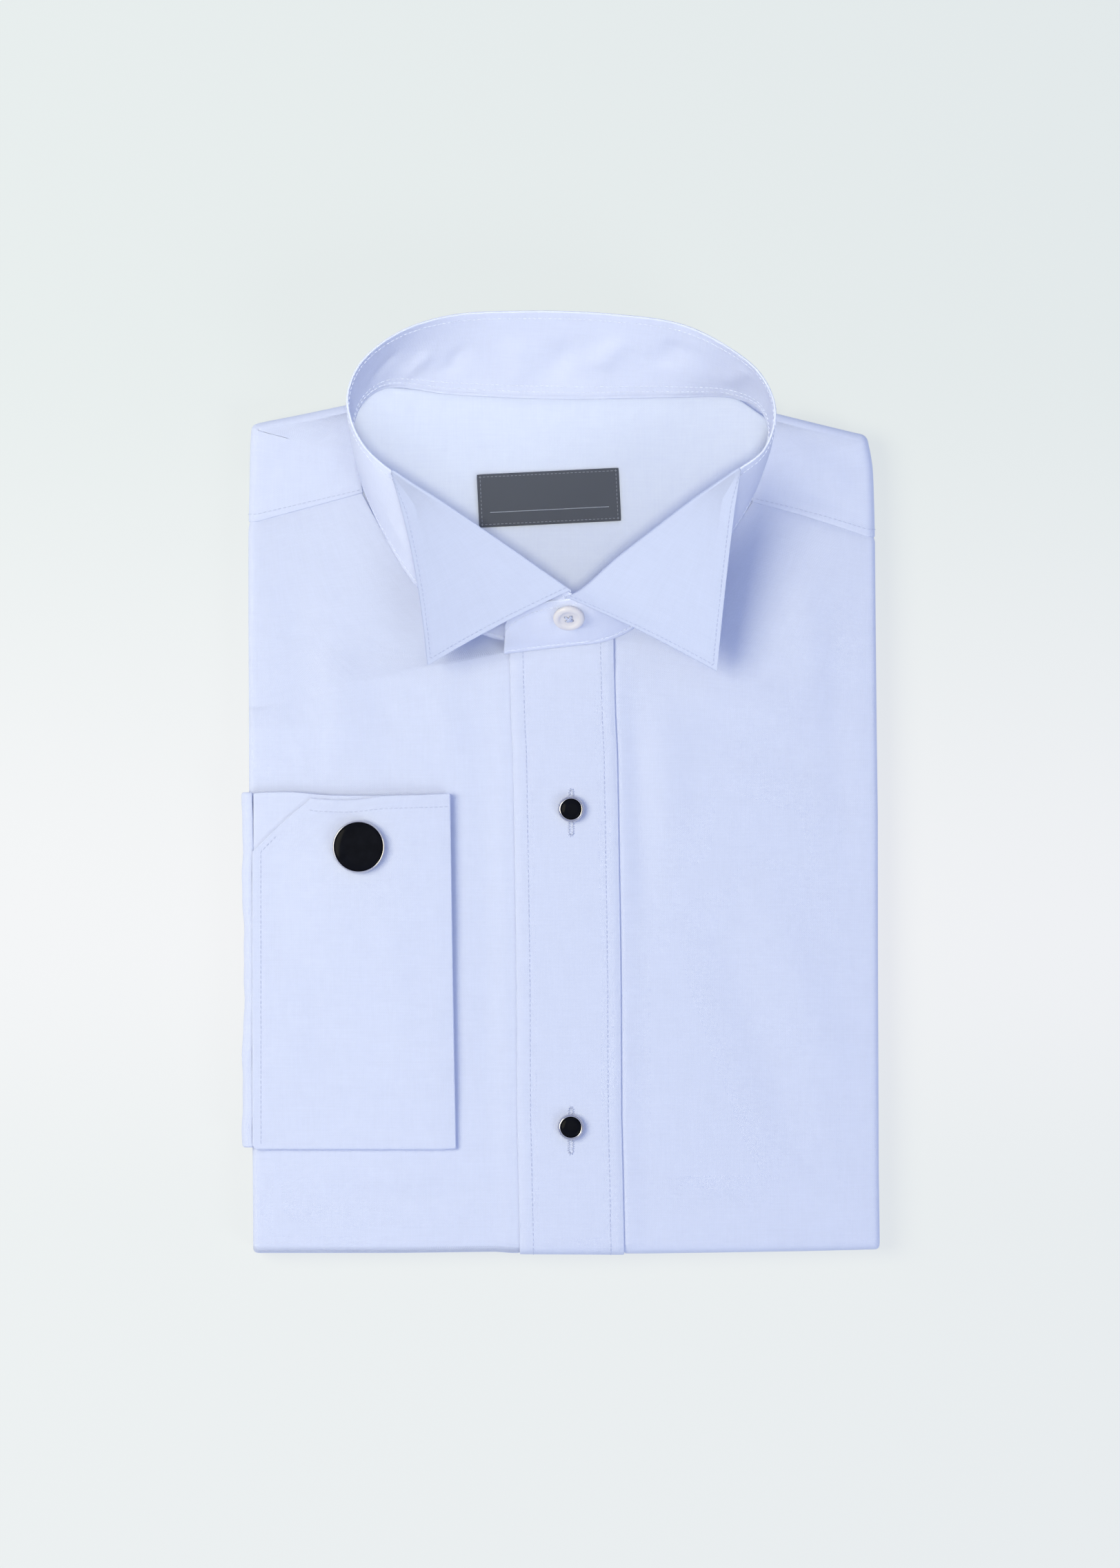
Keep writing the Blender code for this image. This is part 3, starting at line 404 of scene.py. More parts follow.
# ---------------------------------------------------------------- mesh makers
def new_object(name, points, faces, material, uv=None):
    """A smooth mesh object from plan points, with its faces turned outwards."""
    mesh = bpy.data.meshes.new(name)
    mesh.from_pydata([tuple(p) for p in plan_to_frame(points)], [], faces)
    mesh.update()
    turn_outwards(mesh)
    if uv is not None:
        layer = mesh.uv_layers.new(name="cloth")
        corners = np.zeros(len(mesh.loops), np.int32)
        mesh.loops.foreach_get("vertex_index", corners)
        layer.data.foreach_set("uv", (np.asarray(uv, float)[corners] * MM).ravel())
    mesh.shade_smooth()
    mesh.materials.append(material)
    return linked(name, mesh)


def turn_outwards(mesh):
    mesh.calc_loop_triangles()
    co = np.zeros(len(mesh.vertices) * 3)
    mesh.vertices.foreach_get("co", co)
    co = co.reshape(-1, 3)
    corners = np.zeros(len(mesh.loop_triangles) * 3, np.int32)
    mesh.loop_triangles.foreach_get("vertices", corners)
    a, b, c = (co[corners.reshape(-1, 3)[:, k]] for k in range(3))
    if np.einsum("ij,ij->i", a, np.cross(b, c)).sum() < 0.0:
        mesh.flip_normals()


def grid_faces(rows, columns, start=0, turned=False):
    index = np.arange(start, start + rows * columns).reshape(rows, columns)
    quads = np.stack((index[:-1, :-1], index[:-1, 1:], index[1:, 1:], index[1:, :-1]), axis=-1)
    quads = quads.reshape(-1, 4)
    return (quads[:, ::-1] if turned else quads).tolist()


def sheet_data(middle, thick, rim_steps=3):
    """Points, faces and cloth UV of a cloth wall round a grid of middle points.

    Its rim is rounded, as a folded hem is.
    """
    middle = np.asarray(middle, float)
    rows, columns, _ = middle.shape
    down, across = np.gradient(middle, axis=0), np.gradient(middle, axis=1)
    normal = unit(np.cross(down, across))
    half = thick / 2
    points = [middle + normal * half, middle - normal * half]
    faces = grid_faces(rows, columns) + grid_faces(rows, columns, rows * columns, True)
    out = np.zeros_like(middle)
    out[0] -= unit(down[0])
    out[-1] += unit(down[-1])
    out[:, 0] -= unit(across[:, 0])
    out[:, -1] += unit(across[:, -1])
    out = unit(out)
    loop = [(0, c) for c in range(columns)]
    loop += [(r, columns - 1) for r in range(1, rows)]
    loop += [(rows - 1, c) for c in range(columns - 2, -1, -1)]
    loop += [(r, 0) for r in range(rows - 2, 0, -1)]
    rim_rows, rim_columns = (np.array(k) for k in zip(*loop))
    flat = rim_rows * columns + rim_columns
    rings = [flat]
    flat_points = [p.reshape(-1, 3) for p in points]
    start = 2 * rows * columns
    for step in range(1, rim_steps + 1):
        angle = math.pi * step / (rim_steps + 1)
        ring = (middle + normal * half * math.cos(angle) + out * half * math.sin(angle))
        flat_points.append(ring[rim_rows, rim_columns])
        rings.append(np.arange(start, start + len(loop)))
        start += len(loop)
    rings.append(flat + rows * columns)
    for first, second in zip(rings, rings[1:]):
        for i in range(len(loop)):
            j = (i + 1) % len(loop)
            faces.append([int(first[j]), int(first[i]), int(second[i]), int(second[j])])
    steps_u = np.linalg.norm(np.diff(middle, axis=1), axis=2).mean(axis=0)
    steps_v = np.linalg.norm(np.diff(middle, axis=0), axis=2).mean(axis=1)
    along = np.broadcast_arrays(running(steps_u)[None, :], running(steps_v)[:, None])
    uv = np.stack(along, axis=-1).reshape(-1, 2)
    all_uv = np.vstack([uv, uv] + [uv[flat]] * rim_steps)
    return np.vstack(flat_points), faces, all_uv


def merged(name, parts, material):
    """One object from several sets of points, faces and UV."""
    points, faces, uvs, start = [], [], [], 0
    for some, quads, uv in parts:
        points.append(some)
        uvs.append(uv)
        faces += [[i + start for i in quad] for quad in quads]
        start += len(some)
    return new_object(name, np.vstack(points), faces, material, np.vstack(uvs))


def cloth(name, grid, thick, material):
    """One piece of cloth from a grid of middle points."""
    return merged(name, [sheet_data(grid, thick)], material)


def inset(outline, distance):
    """A clockwise outline moved inwards, with mitred corners."""
    outline = np.asarray(outline, float)
    enter = unit(outline - np.roll(outline, 1, axis=0))
    leave = unit(np.roll(outline, -1, axis=0) - outline)
    both = enter + leave
    normal = unit(np.stack((both[:, 1], -both[:, 0]), axis=1))
    square = enter[:, 1] * normal[:, 0] - enter[:, 0] * normal[:, 1]
    return outline + normal * (distance / np.maximum(square, 0.3))[:, None]


def eased_corner(before, corner, after, radius, steps):
    """Points of a soft curve in place of a corner."""
    to_before, to_after = before - corner, after - corner
    sides = [CORNER_SHARE * np.linalg.norm(side) for side in (to_before, to_after)]
    reach = min(radius, *sides)
    start, end = corner + unit(to_before) * reach, corner + unit(to_after) * reach
    return [(1 - t) ** 2 * start + 2 * t * (1 - t) * corner + t ** 2 * end
            for t in np.linspace(0.0, 1.0, steps)]


def closed_outline(corners, spacing, radius, count=0):
    """A closed clockwise outline with eased corners, sampled at about the spacing."""
    corners = np.asarray(corners, float)
    eased = []
    for before, corner, after in zip(np.roll(corners, 1, axis=0), corners,
                                     np.roll(corners, -1, axis=0)):
        eased += eased_corner(before, corner, after, radius, 6)
    ring = np.vstack((eased, eased[:1]))
    length = np.linalg.norm(np.diff(ring, axis=0), axis=1).sum()
    return resample(ring, (count or max(24, int(length / spacing))) + 1)[:-1]


def stack_data(loops):
    """Points, faces and UV of a closed solid through equal rings, with a cap at each end."""
    loops = np.asarray(loops, float)
    rings, count, _ = loops.shape
    faces = []
    for r in range(rings - 1):
        for i in range(count):
            j = (i + 1) % count
            faces.append([r * count + i, (r + 1) * count + i, (r + 1) * count + j, r * count + j])
    faces.append(list(range(count)))
    faces.append(list(range(rings * count - 1, (rings - 1) * count - 1, -1)))
    points = loops.reshape(-1, 3)
    uv = points[:, :2] + points[:, 2:3]
    return points, faces, uv


def pillow_loops(outline, low, high, steps=6):
    """Rings of a flat pad between two heights with a half-round edge."""
    radius = (high - low) / 2
    loops = []
    for step in range(steps + 1):
        angle = -math.pi / 2 + math.pi * step / steps
        ring = inset(outline, radius * (1.0 - math.cos(angle)))
        height = np.full((len(ring), 1), (low + high) / 2 + radius * math.sin(angle))
        loops.append(np.hstack((ring, height)))
    return loops


def lathe(name, profile, place, material, steps=96):
    """A profile of (radius, height) turned round its axis, put in place by a matrix."""
    profile = np.asarray(profile, float)
    ends = [k for k, (r, _) in enumerate(profile) if r < 1e-6]
    points, faces, rings = [], [], []
    for k, (r, h) in enumerate(profile):
        if k in ends:
            rings.append([len(points)] * steps)
            points.append((0.0, 0.0, h))
        else:
            rings.append(list(range(len(points), len(points) + steps)))
            for s in range(steps):
                angle = math.tau * s / steps
                points.append((r * math.cos(angle), r * math.sin(angle), h))
    for low, high in zip(rings, rings[1:]):
        for s in range(steps):
            t = (s + 1) % steps
            face = []
            for index in (low[s], low[t], high[t], high[s]):
                if index not in face:
                    face.append(index)
            if len(face) > 2:
                faces.append(face)
    placed = [place @ Vector(p) for p in points]
    made = new_object(name, [tuple(p) for p in placed], faces, material,
                      [(p[0], p[1]) for p in points])
    made.data.set_sharp_from_angle(angle=SHARP_ANGLE)
    return made


def rounded(points, radius, steps=4):
    """A profile with its inner corners eased."""
    points = [np.array(p, float) for p in points]
    out = [points[0]]
    for before, corner, after in zip(points, points[1:], points[2:]):
        out += eased_corner(before, corner, after, radius, steps)
    out.append(points[-1])
    return out


def settle(piece, nodes=()):
    """Ties a finished piece to the body and hides the solids it stands for."""
    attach(piece, BODY)
    if nodes:
        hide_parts(*nodes)
    return piece


# ---------------------------------------------------------------- geometry nodes
# title: inputs, output, nodes by key, values set on them, links from and to a socket
LINE_TREES = {
    "Stitches on lines": (
        (("Lines", "Geometry", None), ("Pitch", "Float", 0.0025), ("Length", "Float", 0.0019),
         ("Thread", "Float", 0.00034), ("Material", "Material", None)),
        "Stitches",
        (("in", "NodeGroupInput", {}),
         ("curve", "GeometryNodeMeshToCurve", {}),
         ("points", "GeometryNodeCurveToPoints", {"mode": "LENGTH"}),
         ("align", "FunctionNodeAlignRotationToVector", {"axis": "Z"}),
         ("ball", "GeometryNodeMeshUVSphere", {}),
         ("size", "ShaderNodeCombineXYZ", {}),
         ("place", "GeometryNodeInstanceOnPoints", {}),
         ("real", "GeometryNodeRealizeInstances", {}),
         ("smooth", "GeometryNodeSetShadeSmooth", {}),
         ("finish", "GeometryNodeSetMaterial", {}),
         ("out", "NodeGroupOutput", {})),
        (("ball", "Segments", 6), ("ball", "Rings", 6), ("ball", "Radius", 0.5)),
        (("in", "Lines", "curve", "Mesh"),
         ("curve", "Curve", "points", "Curve"),
         ("in", "Pitch", "points", "Length"),
         ("points", "Tangent", "align", "Vector"),
         ("in", "Thread", "size", "X"),
         ("in", "Thread", "size", "Y"),
         ("in", "Length", "size", "Z"),
         ("points", "Points", "place", "Points"),
         ("ball", "Mesh", "place", "Instance"),
         ("align", "Rotation", "place", "Rotation"),
         ("size", "Vector", "place", "Scale"),
         ("place", "Instances", "smooth", "Geometry"),
         ("smooth", "Geometry", "real", "Geometry"),
         ("real", "Geometry", "finish", "Geometry"),
         ("in", "Material", "finish", "Material"),
         ("finish", "Geometry", "out", "Stitches")),
    ),
    "Thread on lines": (
        (("Lines", "Geometry", None), ("Thread", "Float", 0.0003), ("Material", "Material", None)),
        "Thread",
        (("in", "NodeGroupInput", {}),
         ("curve", "GeometryNodeMeshToCurve", {}),
         ("half", "ShaderNodeMath", {"operation": "MULTIPLY"}),
         ("circle", "GeometryNodeCurvePrimitiveCircle", {}),
         ("tube", "GeometryNodeCurveToMesh", {}),
         ("smooth", "GeometryNodeSetShadeSmooth", {}),
         ("real", "GeometryNodeRealizeInstances", {}),
         ("finish", "GeometryNodeSetMaterial", {}),
         ("out", "NodeGroupOutput", {})),
        (("half", 1, 0.5), ("circle", "Resolution", 5), ("tube", "Fill Caps", True)),
        (("in", "Lines", "curve", "Mesh"),
         ("in", "Thread", "half", 0),
         ("half", "Value", "circle", "Radius"),
         ("curve", "Curve", "tube", "Curve"),
         ("circle", "Curve", "tube", "Profile Curve"),
         ("tube", "Mesh", "smooth", "Geometry"),
         ("smooth", "Geometry", "real", "Geometry"),
         ("real", "Geometry", "finish", "Geometry"),
         ("in", "Material", "finish", "Material"),
         ("finish", "Geometry", "out", "Thread")),
    ),
}


def line_tree(title):
    """The geometry nodes tree of that title, built from its table at first use."""
    tree = bpy.data.node_groups.get(title)
    if tree is not None:
        return tree
    inputs, output, rows, values, links = LINE_TREES[title]
    tree = bpy.data.node_groups.new(title, "GeometryNodeTree")
    for name, kind, default in inputs:
        socket = tree.interface.new_socket(name=name, in_out="INPUT", socket_type="NodeSocket" + kind)
        if default is not None:
            socket.default_value = default
    tree.interface.new_socket(name=output, in_out="OUTPUT", socket_type="NodeSocketGeometry")
    made = {}
    for key, kind, settings in rows:
        made[key] = tree.nodes.new(kind)
        for name, value in settings.items():
            setattr(made[key], name, value)
    for key, socket, value in values:
        made[key].inputs[socket].default_value = value
    for source, leaving, target, entering in links:
        tree.links.new(made[source].outputs[leaving], made[target].inputs[entering])
    return tree


def grown(name, lines, title, values, material):
    """A mesh that a geometry nodes tree grows on lines of plan points."""
    points, edges = [], []
    for line in lines:
        start = len(points)
        points += [tuple(p) for p in plan_to_frame(line)]
        edges += [(i, i + 1) for i in range(start, len(points) - 1)]
    mesh = bpy.data.meshes.new(name + "_lines")
    mesh.from_pydata(points, edges, [])
    guide = linked(name + "_lines", mesh)
    tree = line_tree(title)
    modifier = guide.modifiers.new("grow", "NODES")
    modifier.node_group = tree
    sockets = {s.name: s.identifier for s in tree.interface.items_tree
               if s.item_type == "SOCKET" and s.in_out == "INPUT"}
    for key, value in values.items():
        modifier[sockets[key]] = value
    modifier[sockets["Material"]] = material
    plain = evaluated_mesh(guide)
    plain.name = name
    bpy.data.objects.remove(guide)
    if not plain.polygons:
        raise RuntimeError(f"{name}: nothing grew on its lines")
    if not len(plain.materials):
        plain.materials.append(material)
    return settle(linked(name, plain))


def stitches(name, lines, material=None, share=1.0):
    """A row of stitches on each line, which is first sampled finely."""
    sizes = bpy.context.scene.shirt_sizes
    values = {
        "Pitch": (sizes.stitch + sizes.stitch_gap) * share,
        "Length": sizes.stitch * share,
        "Thread": sizes.thread * share,
    }
    fine = [resample(line, max(2, int(np.linalg.norm(np.diff(line, axis=0), axis=1).sum()) + 2))
            for line in map(np.asarray, lines)]
    return grown(name, fine, "Stitches on lines", values, material or thread_finish())


def threads(name, lines, thick, material=None):
    """A round thread of one thickness along each line."""
    values = {"Thread": thick * MM}
    return grown(name, lines, "Thread on lines", values, material or thread_finish())


# ---------------------------------------------------------------- materials
def new_material(name):
    """A node material, its tree and its Principled shader; both are None if it exists already."""
    old = bpy.data.materials.get(name)
    if old is not None:
        return old, None, None
    material = bpy.data.materials.new(name)
    material.use_nodes = True
    tree = material.node_tree
    return material, tree, tree.nodes["Principled BSDF"]


def math_node(tree, operation, first, second=None, third=None):
    node = tree.nodes.new("ShaderNodeMath")
    node.operation = operation
    for index, value in enumerate((first, second, third)):
        if value is None:
            continue
        if isinstance(value, (int, float)):
            node.inputs[index].default_value = value
        else:
            tree.links.new(value, node.inputs[index])
    return node.outputs[0]


def noise_node(tree, vector, scale, detail=2.0):
    node = tree.nodes.new("ShaderNodeTexNoise")
    node.inputs["Scale"].default_value = scale
    node.inputs["Detail"].default_value = detail
    tree.links.new(vector, node.inputs["Vector"])
    return node.outputs[0]


def stretched(tree, vector, scale):
    node = tree.nodes.new("ShaderNodeMapping")
    node.inputs["Scale"].default_value = scale
    tree.links.new(vector, node.inputs["Vector"])
    return node.outputs[0]


def mixed(tree, factor, first, second):
    """A mix of two colours: a socket or a plain colour each."""
    node = tree.nodes.new("ShaderNodeMix")
    node.data_type = "RGBA"
    tree.links.new(factor, node.inputs[0])
    for socket, value in ((node.inputs[6], first), (node.inputs[7], second)):
        if hasattr(value, "links"):
            tree.links.new(value, socket)
        else:
            socket.default_value = (*value, 1.0)
    return node.outputs[2]


def bumped(tree, shader, height, distance, strength=1.0):
    node = tree.nodes.new("ShaderNodeBump")
    node.inputs["Distance"].default_value = distance
    node.inputs["Strength"].default_value = strength
    tree.links.new(height, node.inputs["Height"])
    tree.links.new(node.outputs[0], shader.inputs["Normal"])


def tint(base, factor):
    return tuple(min(1.0, channel * factor) for channel in base)


WEAVE_DEPTH = 0.00004       # relief of the shirting's weave, in metres


def weave_finish(name, base, pitch, depth, uneven=0.09, roughness=0.85, sheen=0.15):
    """Plain weave on the cloth's own UV map, with slubs along both threads."""
    material, tree, shader = new_material(name)
    if tree is None:
        return material
    uv = tree.nodes.new("ShaderNodeUVMap")
    uv.uv_map = "cloth"
    place = uv.outputs[0]
    parts = tree.nodes.new("ShaderNodeSeparateXYZ")
    tree.links.new(place, parts.inputs[0])
    turns = math.tau / (2 * pitch)
    warp = math_node(tree, "SINE", math_node(tree, "MULTIPLY", parts.outputs[0], turns))
    weft = math_node(tree, "SINE", math_node(tree, "MULTIPLY", parts.outputs[1], turns))
    over = math_node(tree, "MULTIPLY", warp, weft)
    thread = math_node(tree, "MAXIMUM", math_node(tree, "ABSOLUTE", warp),
                       math_node(tree, "ABSOLUTE", weft))
    slub_warp = noise_node(tree, stretched(tree, place, (1300.0, 80.0, 1.0)), 1.0)
    slub_weft = noise_node(tree, stretched(tree, place, (80.0, 1300.0, 1.0)), 1.0)
    cloud = noise_node(tree, stretched(tree, place, (170.0, 120.0, 1.0)), 1.0, 4.0)
    soft = noise_node(tree, stretched(tree, place, (35.0, 35.0, 1.0)), 1.0, 3.0)
    slubs = math_node(tree, "ADD", slub_warp, slub_weft)
    clouds = math_node(tree, "MULTIPLY_ADD", cloud, 0.25, math_node(tree, "MULTIPLY", soft, 0.15))
    uneven_cloth = math_node(tree, "MULTIPLY_ADD", slubs, 0.3, clouds)
    base_colour = mixed(tree, uneven_cloth, tint(base, 1.0 - uneven), tint(base, 1.0 + uneven))
    tree.links.new(base_colour, shader.inputs["Base Color"])
    relief = math_node(tree, "ADD", math_node(tree, "MULTIPLY", over, 0.35),
                       math_node(tree, "MULTIPLY_ADD", slubs, 0.5, thread))
    bumped(tree, shader, relief, depth)
    shader.inputs["Roughness"].default_value = roughness
    shader.inputs["Specular IOR Level"].default_value = 0.25
    shader.inputs["Sheen Weight"].default_value = sheen
    shader.inputs["Sheen Roughness"].default_value = 0.5
    return material


def shirting(name, tone):
    scene = bpy.context.scene
    base = tuple(getattr(scene.shirt_colours, tone))
    return weave_finish(name, base, scene.shirt_sizes.weave, WEAVE_DEPTH)


def cotton_finish():
    return shirting("cotton_shirting", "cotton")


def collar_painted_shade_finish():
    # painted shade: a darker copy of the cotton shirting
    return shirting("collar_shirting", "collar")


def lining_painted_light_finish():
    # painted light: a lighter copy of the cotton shirting
    return shirting("inner_yoke_shirting", "lining")


def label_finish():
    """Woven label: fine ribs, a little uneven."""
    base = tuple(bpy.context.scene.shirt_colours.label)
    return weave_finish("label_weave", base, 0.00045, 0.00012, uneven=0.3, roughness=0.7)


def clouded(name, base, noise, tints, depth, settings, stretch=None):
    """A finish with a faint noise in its colour and its relief, on object coordinates.

    noise is its scale and detail, tints the darkest and the palest share of the colour, depth
    the relief in metres, and stretch scales the coordinates first.
    """
    material, tree, shader = new_material(name)
    if tree is None:
        return material
    where = tree.nodes.new("ShaderNodeTexCoord").outputs["Object"]
    if stretch:
        where = stretched(tree, where, stretch)
    cloud = noise_node(tree, where, *noise)
    low, high = (tint(base, share) for share in tints)
    tree.links.new(mixed(tree, cloud, low, high), shader.inputs["Base Color"])
    bumped(tree, shader, cloud, depth)
    for socket, value in settings.items():
        shader.inputs[socket].default_value = value
    return material


def thread_finish(name="sewing_thread", base=None):
    """Twisted thread."""
    base = base or tuple(bpy.context.scene.shirt_colours.thread)
    return clouded(name, base, (4000.0, 2.0), (0.93, 1.06), 0.00004,
                   {"Roughness": 0.6, "Sheen Weight": 0.2})


def metal_finish():
    """Polished silver with faint wiping marks."""
    base = tuple(bpy.context.scene.shirt_colours.silver)
    return clouded("polished_silver", base, (1.0, 4.0), (0.92, 1.05), 0.000004,
                   {"Metallic": 1.0, "Roughness": 0.16}, (900.0, 2500.0, 900.0))


def stone_finish():
    """Polished black stone."""
    base = tuple(bpy.context.scene.shirt_colours.onyx)
    return clouded("polished_onyx", base, (350.0, 3.0), (0.6, 1.6), 0.000002,
                   {"Roughness": 0.12, "Specular IOR Level": 0.03})


def button_finish():
    """Cream resin with a faint pearly cloud."""
    base = tuple(bpy.context.scene.shirt_colours.button)
    return clouded("cream_resin", base, (260.0, 4.0), (0.95, 1.04), 0.00001,
                   {"Roughness": 0.4, "Coat Weight": 0.15})


TABLE_PAINTED_LIGHT_GLOW = 0.8            # share of the table's brightness that it glows itself: painted light that keeps shadows on it faint
TABLE_PAINTED_LIGHT_Y = -0.053     # where the painted light on the table is brightest, and how fast its painted falloff dims it up and down
TABLE_PAINTED_FALLOFF_UP = 4.4
TABLE_PAINTED_FALLOFF_DOWN = -8.9
TABLE_PAINTED_FALLOFF_LEFT = (0.895, 0.937, 0.92)    # share of each channel that the painted falloff leaves where it is dimmest


def table_painted_light_finish():
    """Matt pale top of a light table, which glows: painted light that keeps shadows on it faint, and a
    painted falloff that makes it dimmer towards its top and bottom.
    """
    material, tree, shader = new_material("pale_table")
    if tree is None:
        return material
    base = tuple(bpy.context.scene.shirt_colours.table)
    far = tuple(channel * share for channel, share in zip(base, TABLE_PAINTED_FALLOFF_LEFT))
    where = tree.nodes.new("ShaderNodeTexCoord").outputs["Object"]
    cloud = noise_node(tree, where, 3.0, 2.0)
    parts = tree.nodes.new("ShaderNodeSeparateXYZ")
    tree.links.new(where, parts.inputs[0])
    off = math_node(tree, "SUBTRACT", parts.outputs[1], TABLE_PAINTED_LIGHT_Y)
    fades = []
    for steep, most in ((TABLE_PAINTED_FALLOFF_UP, 1.0), (TABLE_PAINTED_FALLOFF_DOWN, 0.55)):
        fade = tree.nodes.new("ShaderNodeMapRange")
        fade.interpolation_type = "SMOOTHSTEP"
        fade.inputs["To Max"].default_value = most
        tree.links.new(math_node(tree, "MULTIPLY", off, steep), fade.inputs["Value"])
        fades.append(fade.outputs[0])
    # painted light falloff: the table dims towards its top and bottom, as falling light would
    painted_falloff = math_node(tree, "MAXIMUM", *fades)
    # painted light: most of the table's brightness is its own glow, so shadows on it stay faint
    for share, name in ((1.0 - TABLE_PAINTED_LIGHT_GLOW, "Base Color"), (TABLE_PAINTED_LIGHT_GLOW, "Emission Color")):
        near = mixed(tree, cloud, tint(base, share * 0.995), tint(base, share * 1.005))
        tree.links.new(mixed(tree, painted_falloff, near, tint(far, share)), shader.inputs[name])
    shader.inputs["Emission Strength"].default_value = 1.0
    shader.inputs["Roughness"].default_value = 0.9
    shader.inputs["Specular IOR Level"].default_value = 0.1
    return material


# ---------------------------------------------------------------- fronts and placket
# u0, v0, u1, v1, width, height of creases in plan, on both fronts and the placket
PANEL_CREASES = (
    (26.0, 42.0, 32.0, -62.0, 5.0, -0.66),
    (36.0, 34.0, 40.0, -30.0, 7.0, 0.72),
    (52.0, -40.0, 92.0, -150.0, 7.0, -0.66),
    (70.0, -30.0, 104.0, -120.0, 9.0, 0.72),
    (34.0, 40.0, 98.0, 22.0, 9.0, 0.84),
    (40.0, 24.0, 106.0, 2.0, 8.0, -0.53),
    (98.0, 70.0, 104.0, -40.0, 6.0, -0.57),
    (88.0, 84.0, 92.0, 20.0, 7.0, 0.67),
    (-98.0, 88.0, -92.0, 6.0, 7.0, -0.61),
    (-84.0, 62.0, -80.0, 0.0, 6.0, 0.72),
    (-66.0, 50.0, -62.0, -8.0, 5.0, -0.47),
    (-44.0, 44.0, -40.0, 4.0, 5.0, 0.62),
    (-30.0, 44.0, -26.0, -150.0, 4.0, -0.47),
    (-104.0, -136.0, -30.0, -146.0, 6.0, 0.60),
    (-100.0, -152.0, -24.0, -150.0, 4.0, -0.38),
    (30.0, -154.0, 108.0, -152.0, 4.0, -0.47),
)
UNDER_CREASES = (
    (-96.0, 80.0, -60.0, -110.0, 8.0, -0.3),
    (-40.0, 60.0, -64.0, -80.0, 6.0, -0.25),
    (48.0, 92.0, 86.0, -60.0, 9.0, -0.3),
    (92.0, -20.0, 60.0, -130.0, 7.0, -0.25),
)
# x, how far the bottom fold lies below its axis there
FOLD_SAG = np.array((
    (-112.0, 0.6), (-60.0, 0.6), (-24.0, 0.15), (-18.0, 0.6), (22.0, 0.8), (30.0, 0.8),
    (60.0, 0.4), (90.0, -0.1), (114.0, -0.7),
))


def squared(value):
    """A sine or cosine drawn towards its ends, for a pressed fold."""
    return np.sign(value) * np.abs(value) ** FOLD_POWER


def fold_point(x, n, y, turn):
    """Points n from the fold axis: turn 0 is on top, 1 underneath."""
    angle = np.pi * np.asarray(turn, float)
    sag = np.interp(x, FOLD_SAG[:, 0], FOLD_SAG[:, 1]) * smooth((-150.0 - np.asarray(y)) / 15.0)
    along = y - sag - FOLD_SQUASH * n * squared(np.sin(angle))
    x, along, high = np.broadcast_arrays(x, along, FOLD_AXIS_Z + n * squared(np.cos(angle)))
    return np.stack((x, along, high), axis=-1)


def row_stations(first_rows, end_y, spacing=2.5, under_spacing=5.0, fold_steps=16):
    """(y, turn) of rows down the top, round the bottom fold and up the underside."""
    down = [(y, 0.0) for y in first_rows]
    start = first_rows[-1]
    count = int((start - FOLD_AXIS_Y) / spacing)
    down += [(start + (FOLD_AXIS_Y - start) * k / count, 0.0) for k in range(1, count)]
    down += [(FOLD_AXIS_Y, k / fold_steps) for k in range(fold_steps + 1)]
    count = int((end_y - FOLD_AXIS_Y) / under_spacing)
    down += [(FOLD_AXIS_Y + (end_y - FOLD_AXIS_Y) * k / count, 1.0) for k in range(1, count + 1)]
    return down


# how far the fronts' first rows reach under the yoke, and how much lower they lie there
YOKE_TUCK = ((1.8, 0.95), (0.9, 0.9), (0.1, 0.45))


PANEL_POINTS, FOLD_POINTS, RETURN_POINTS = 46, 11, 10     # across a front, from its inner edge


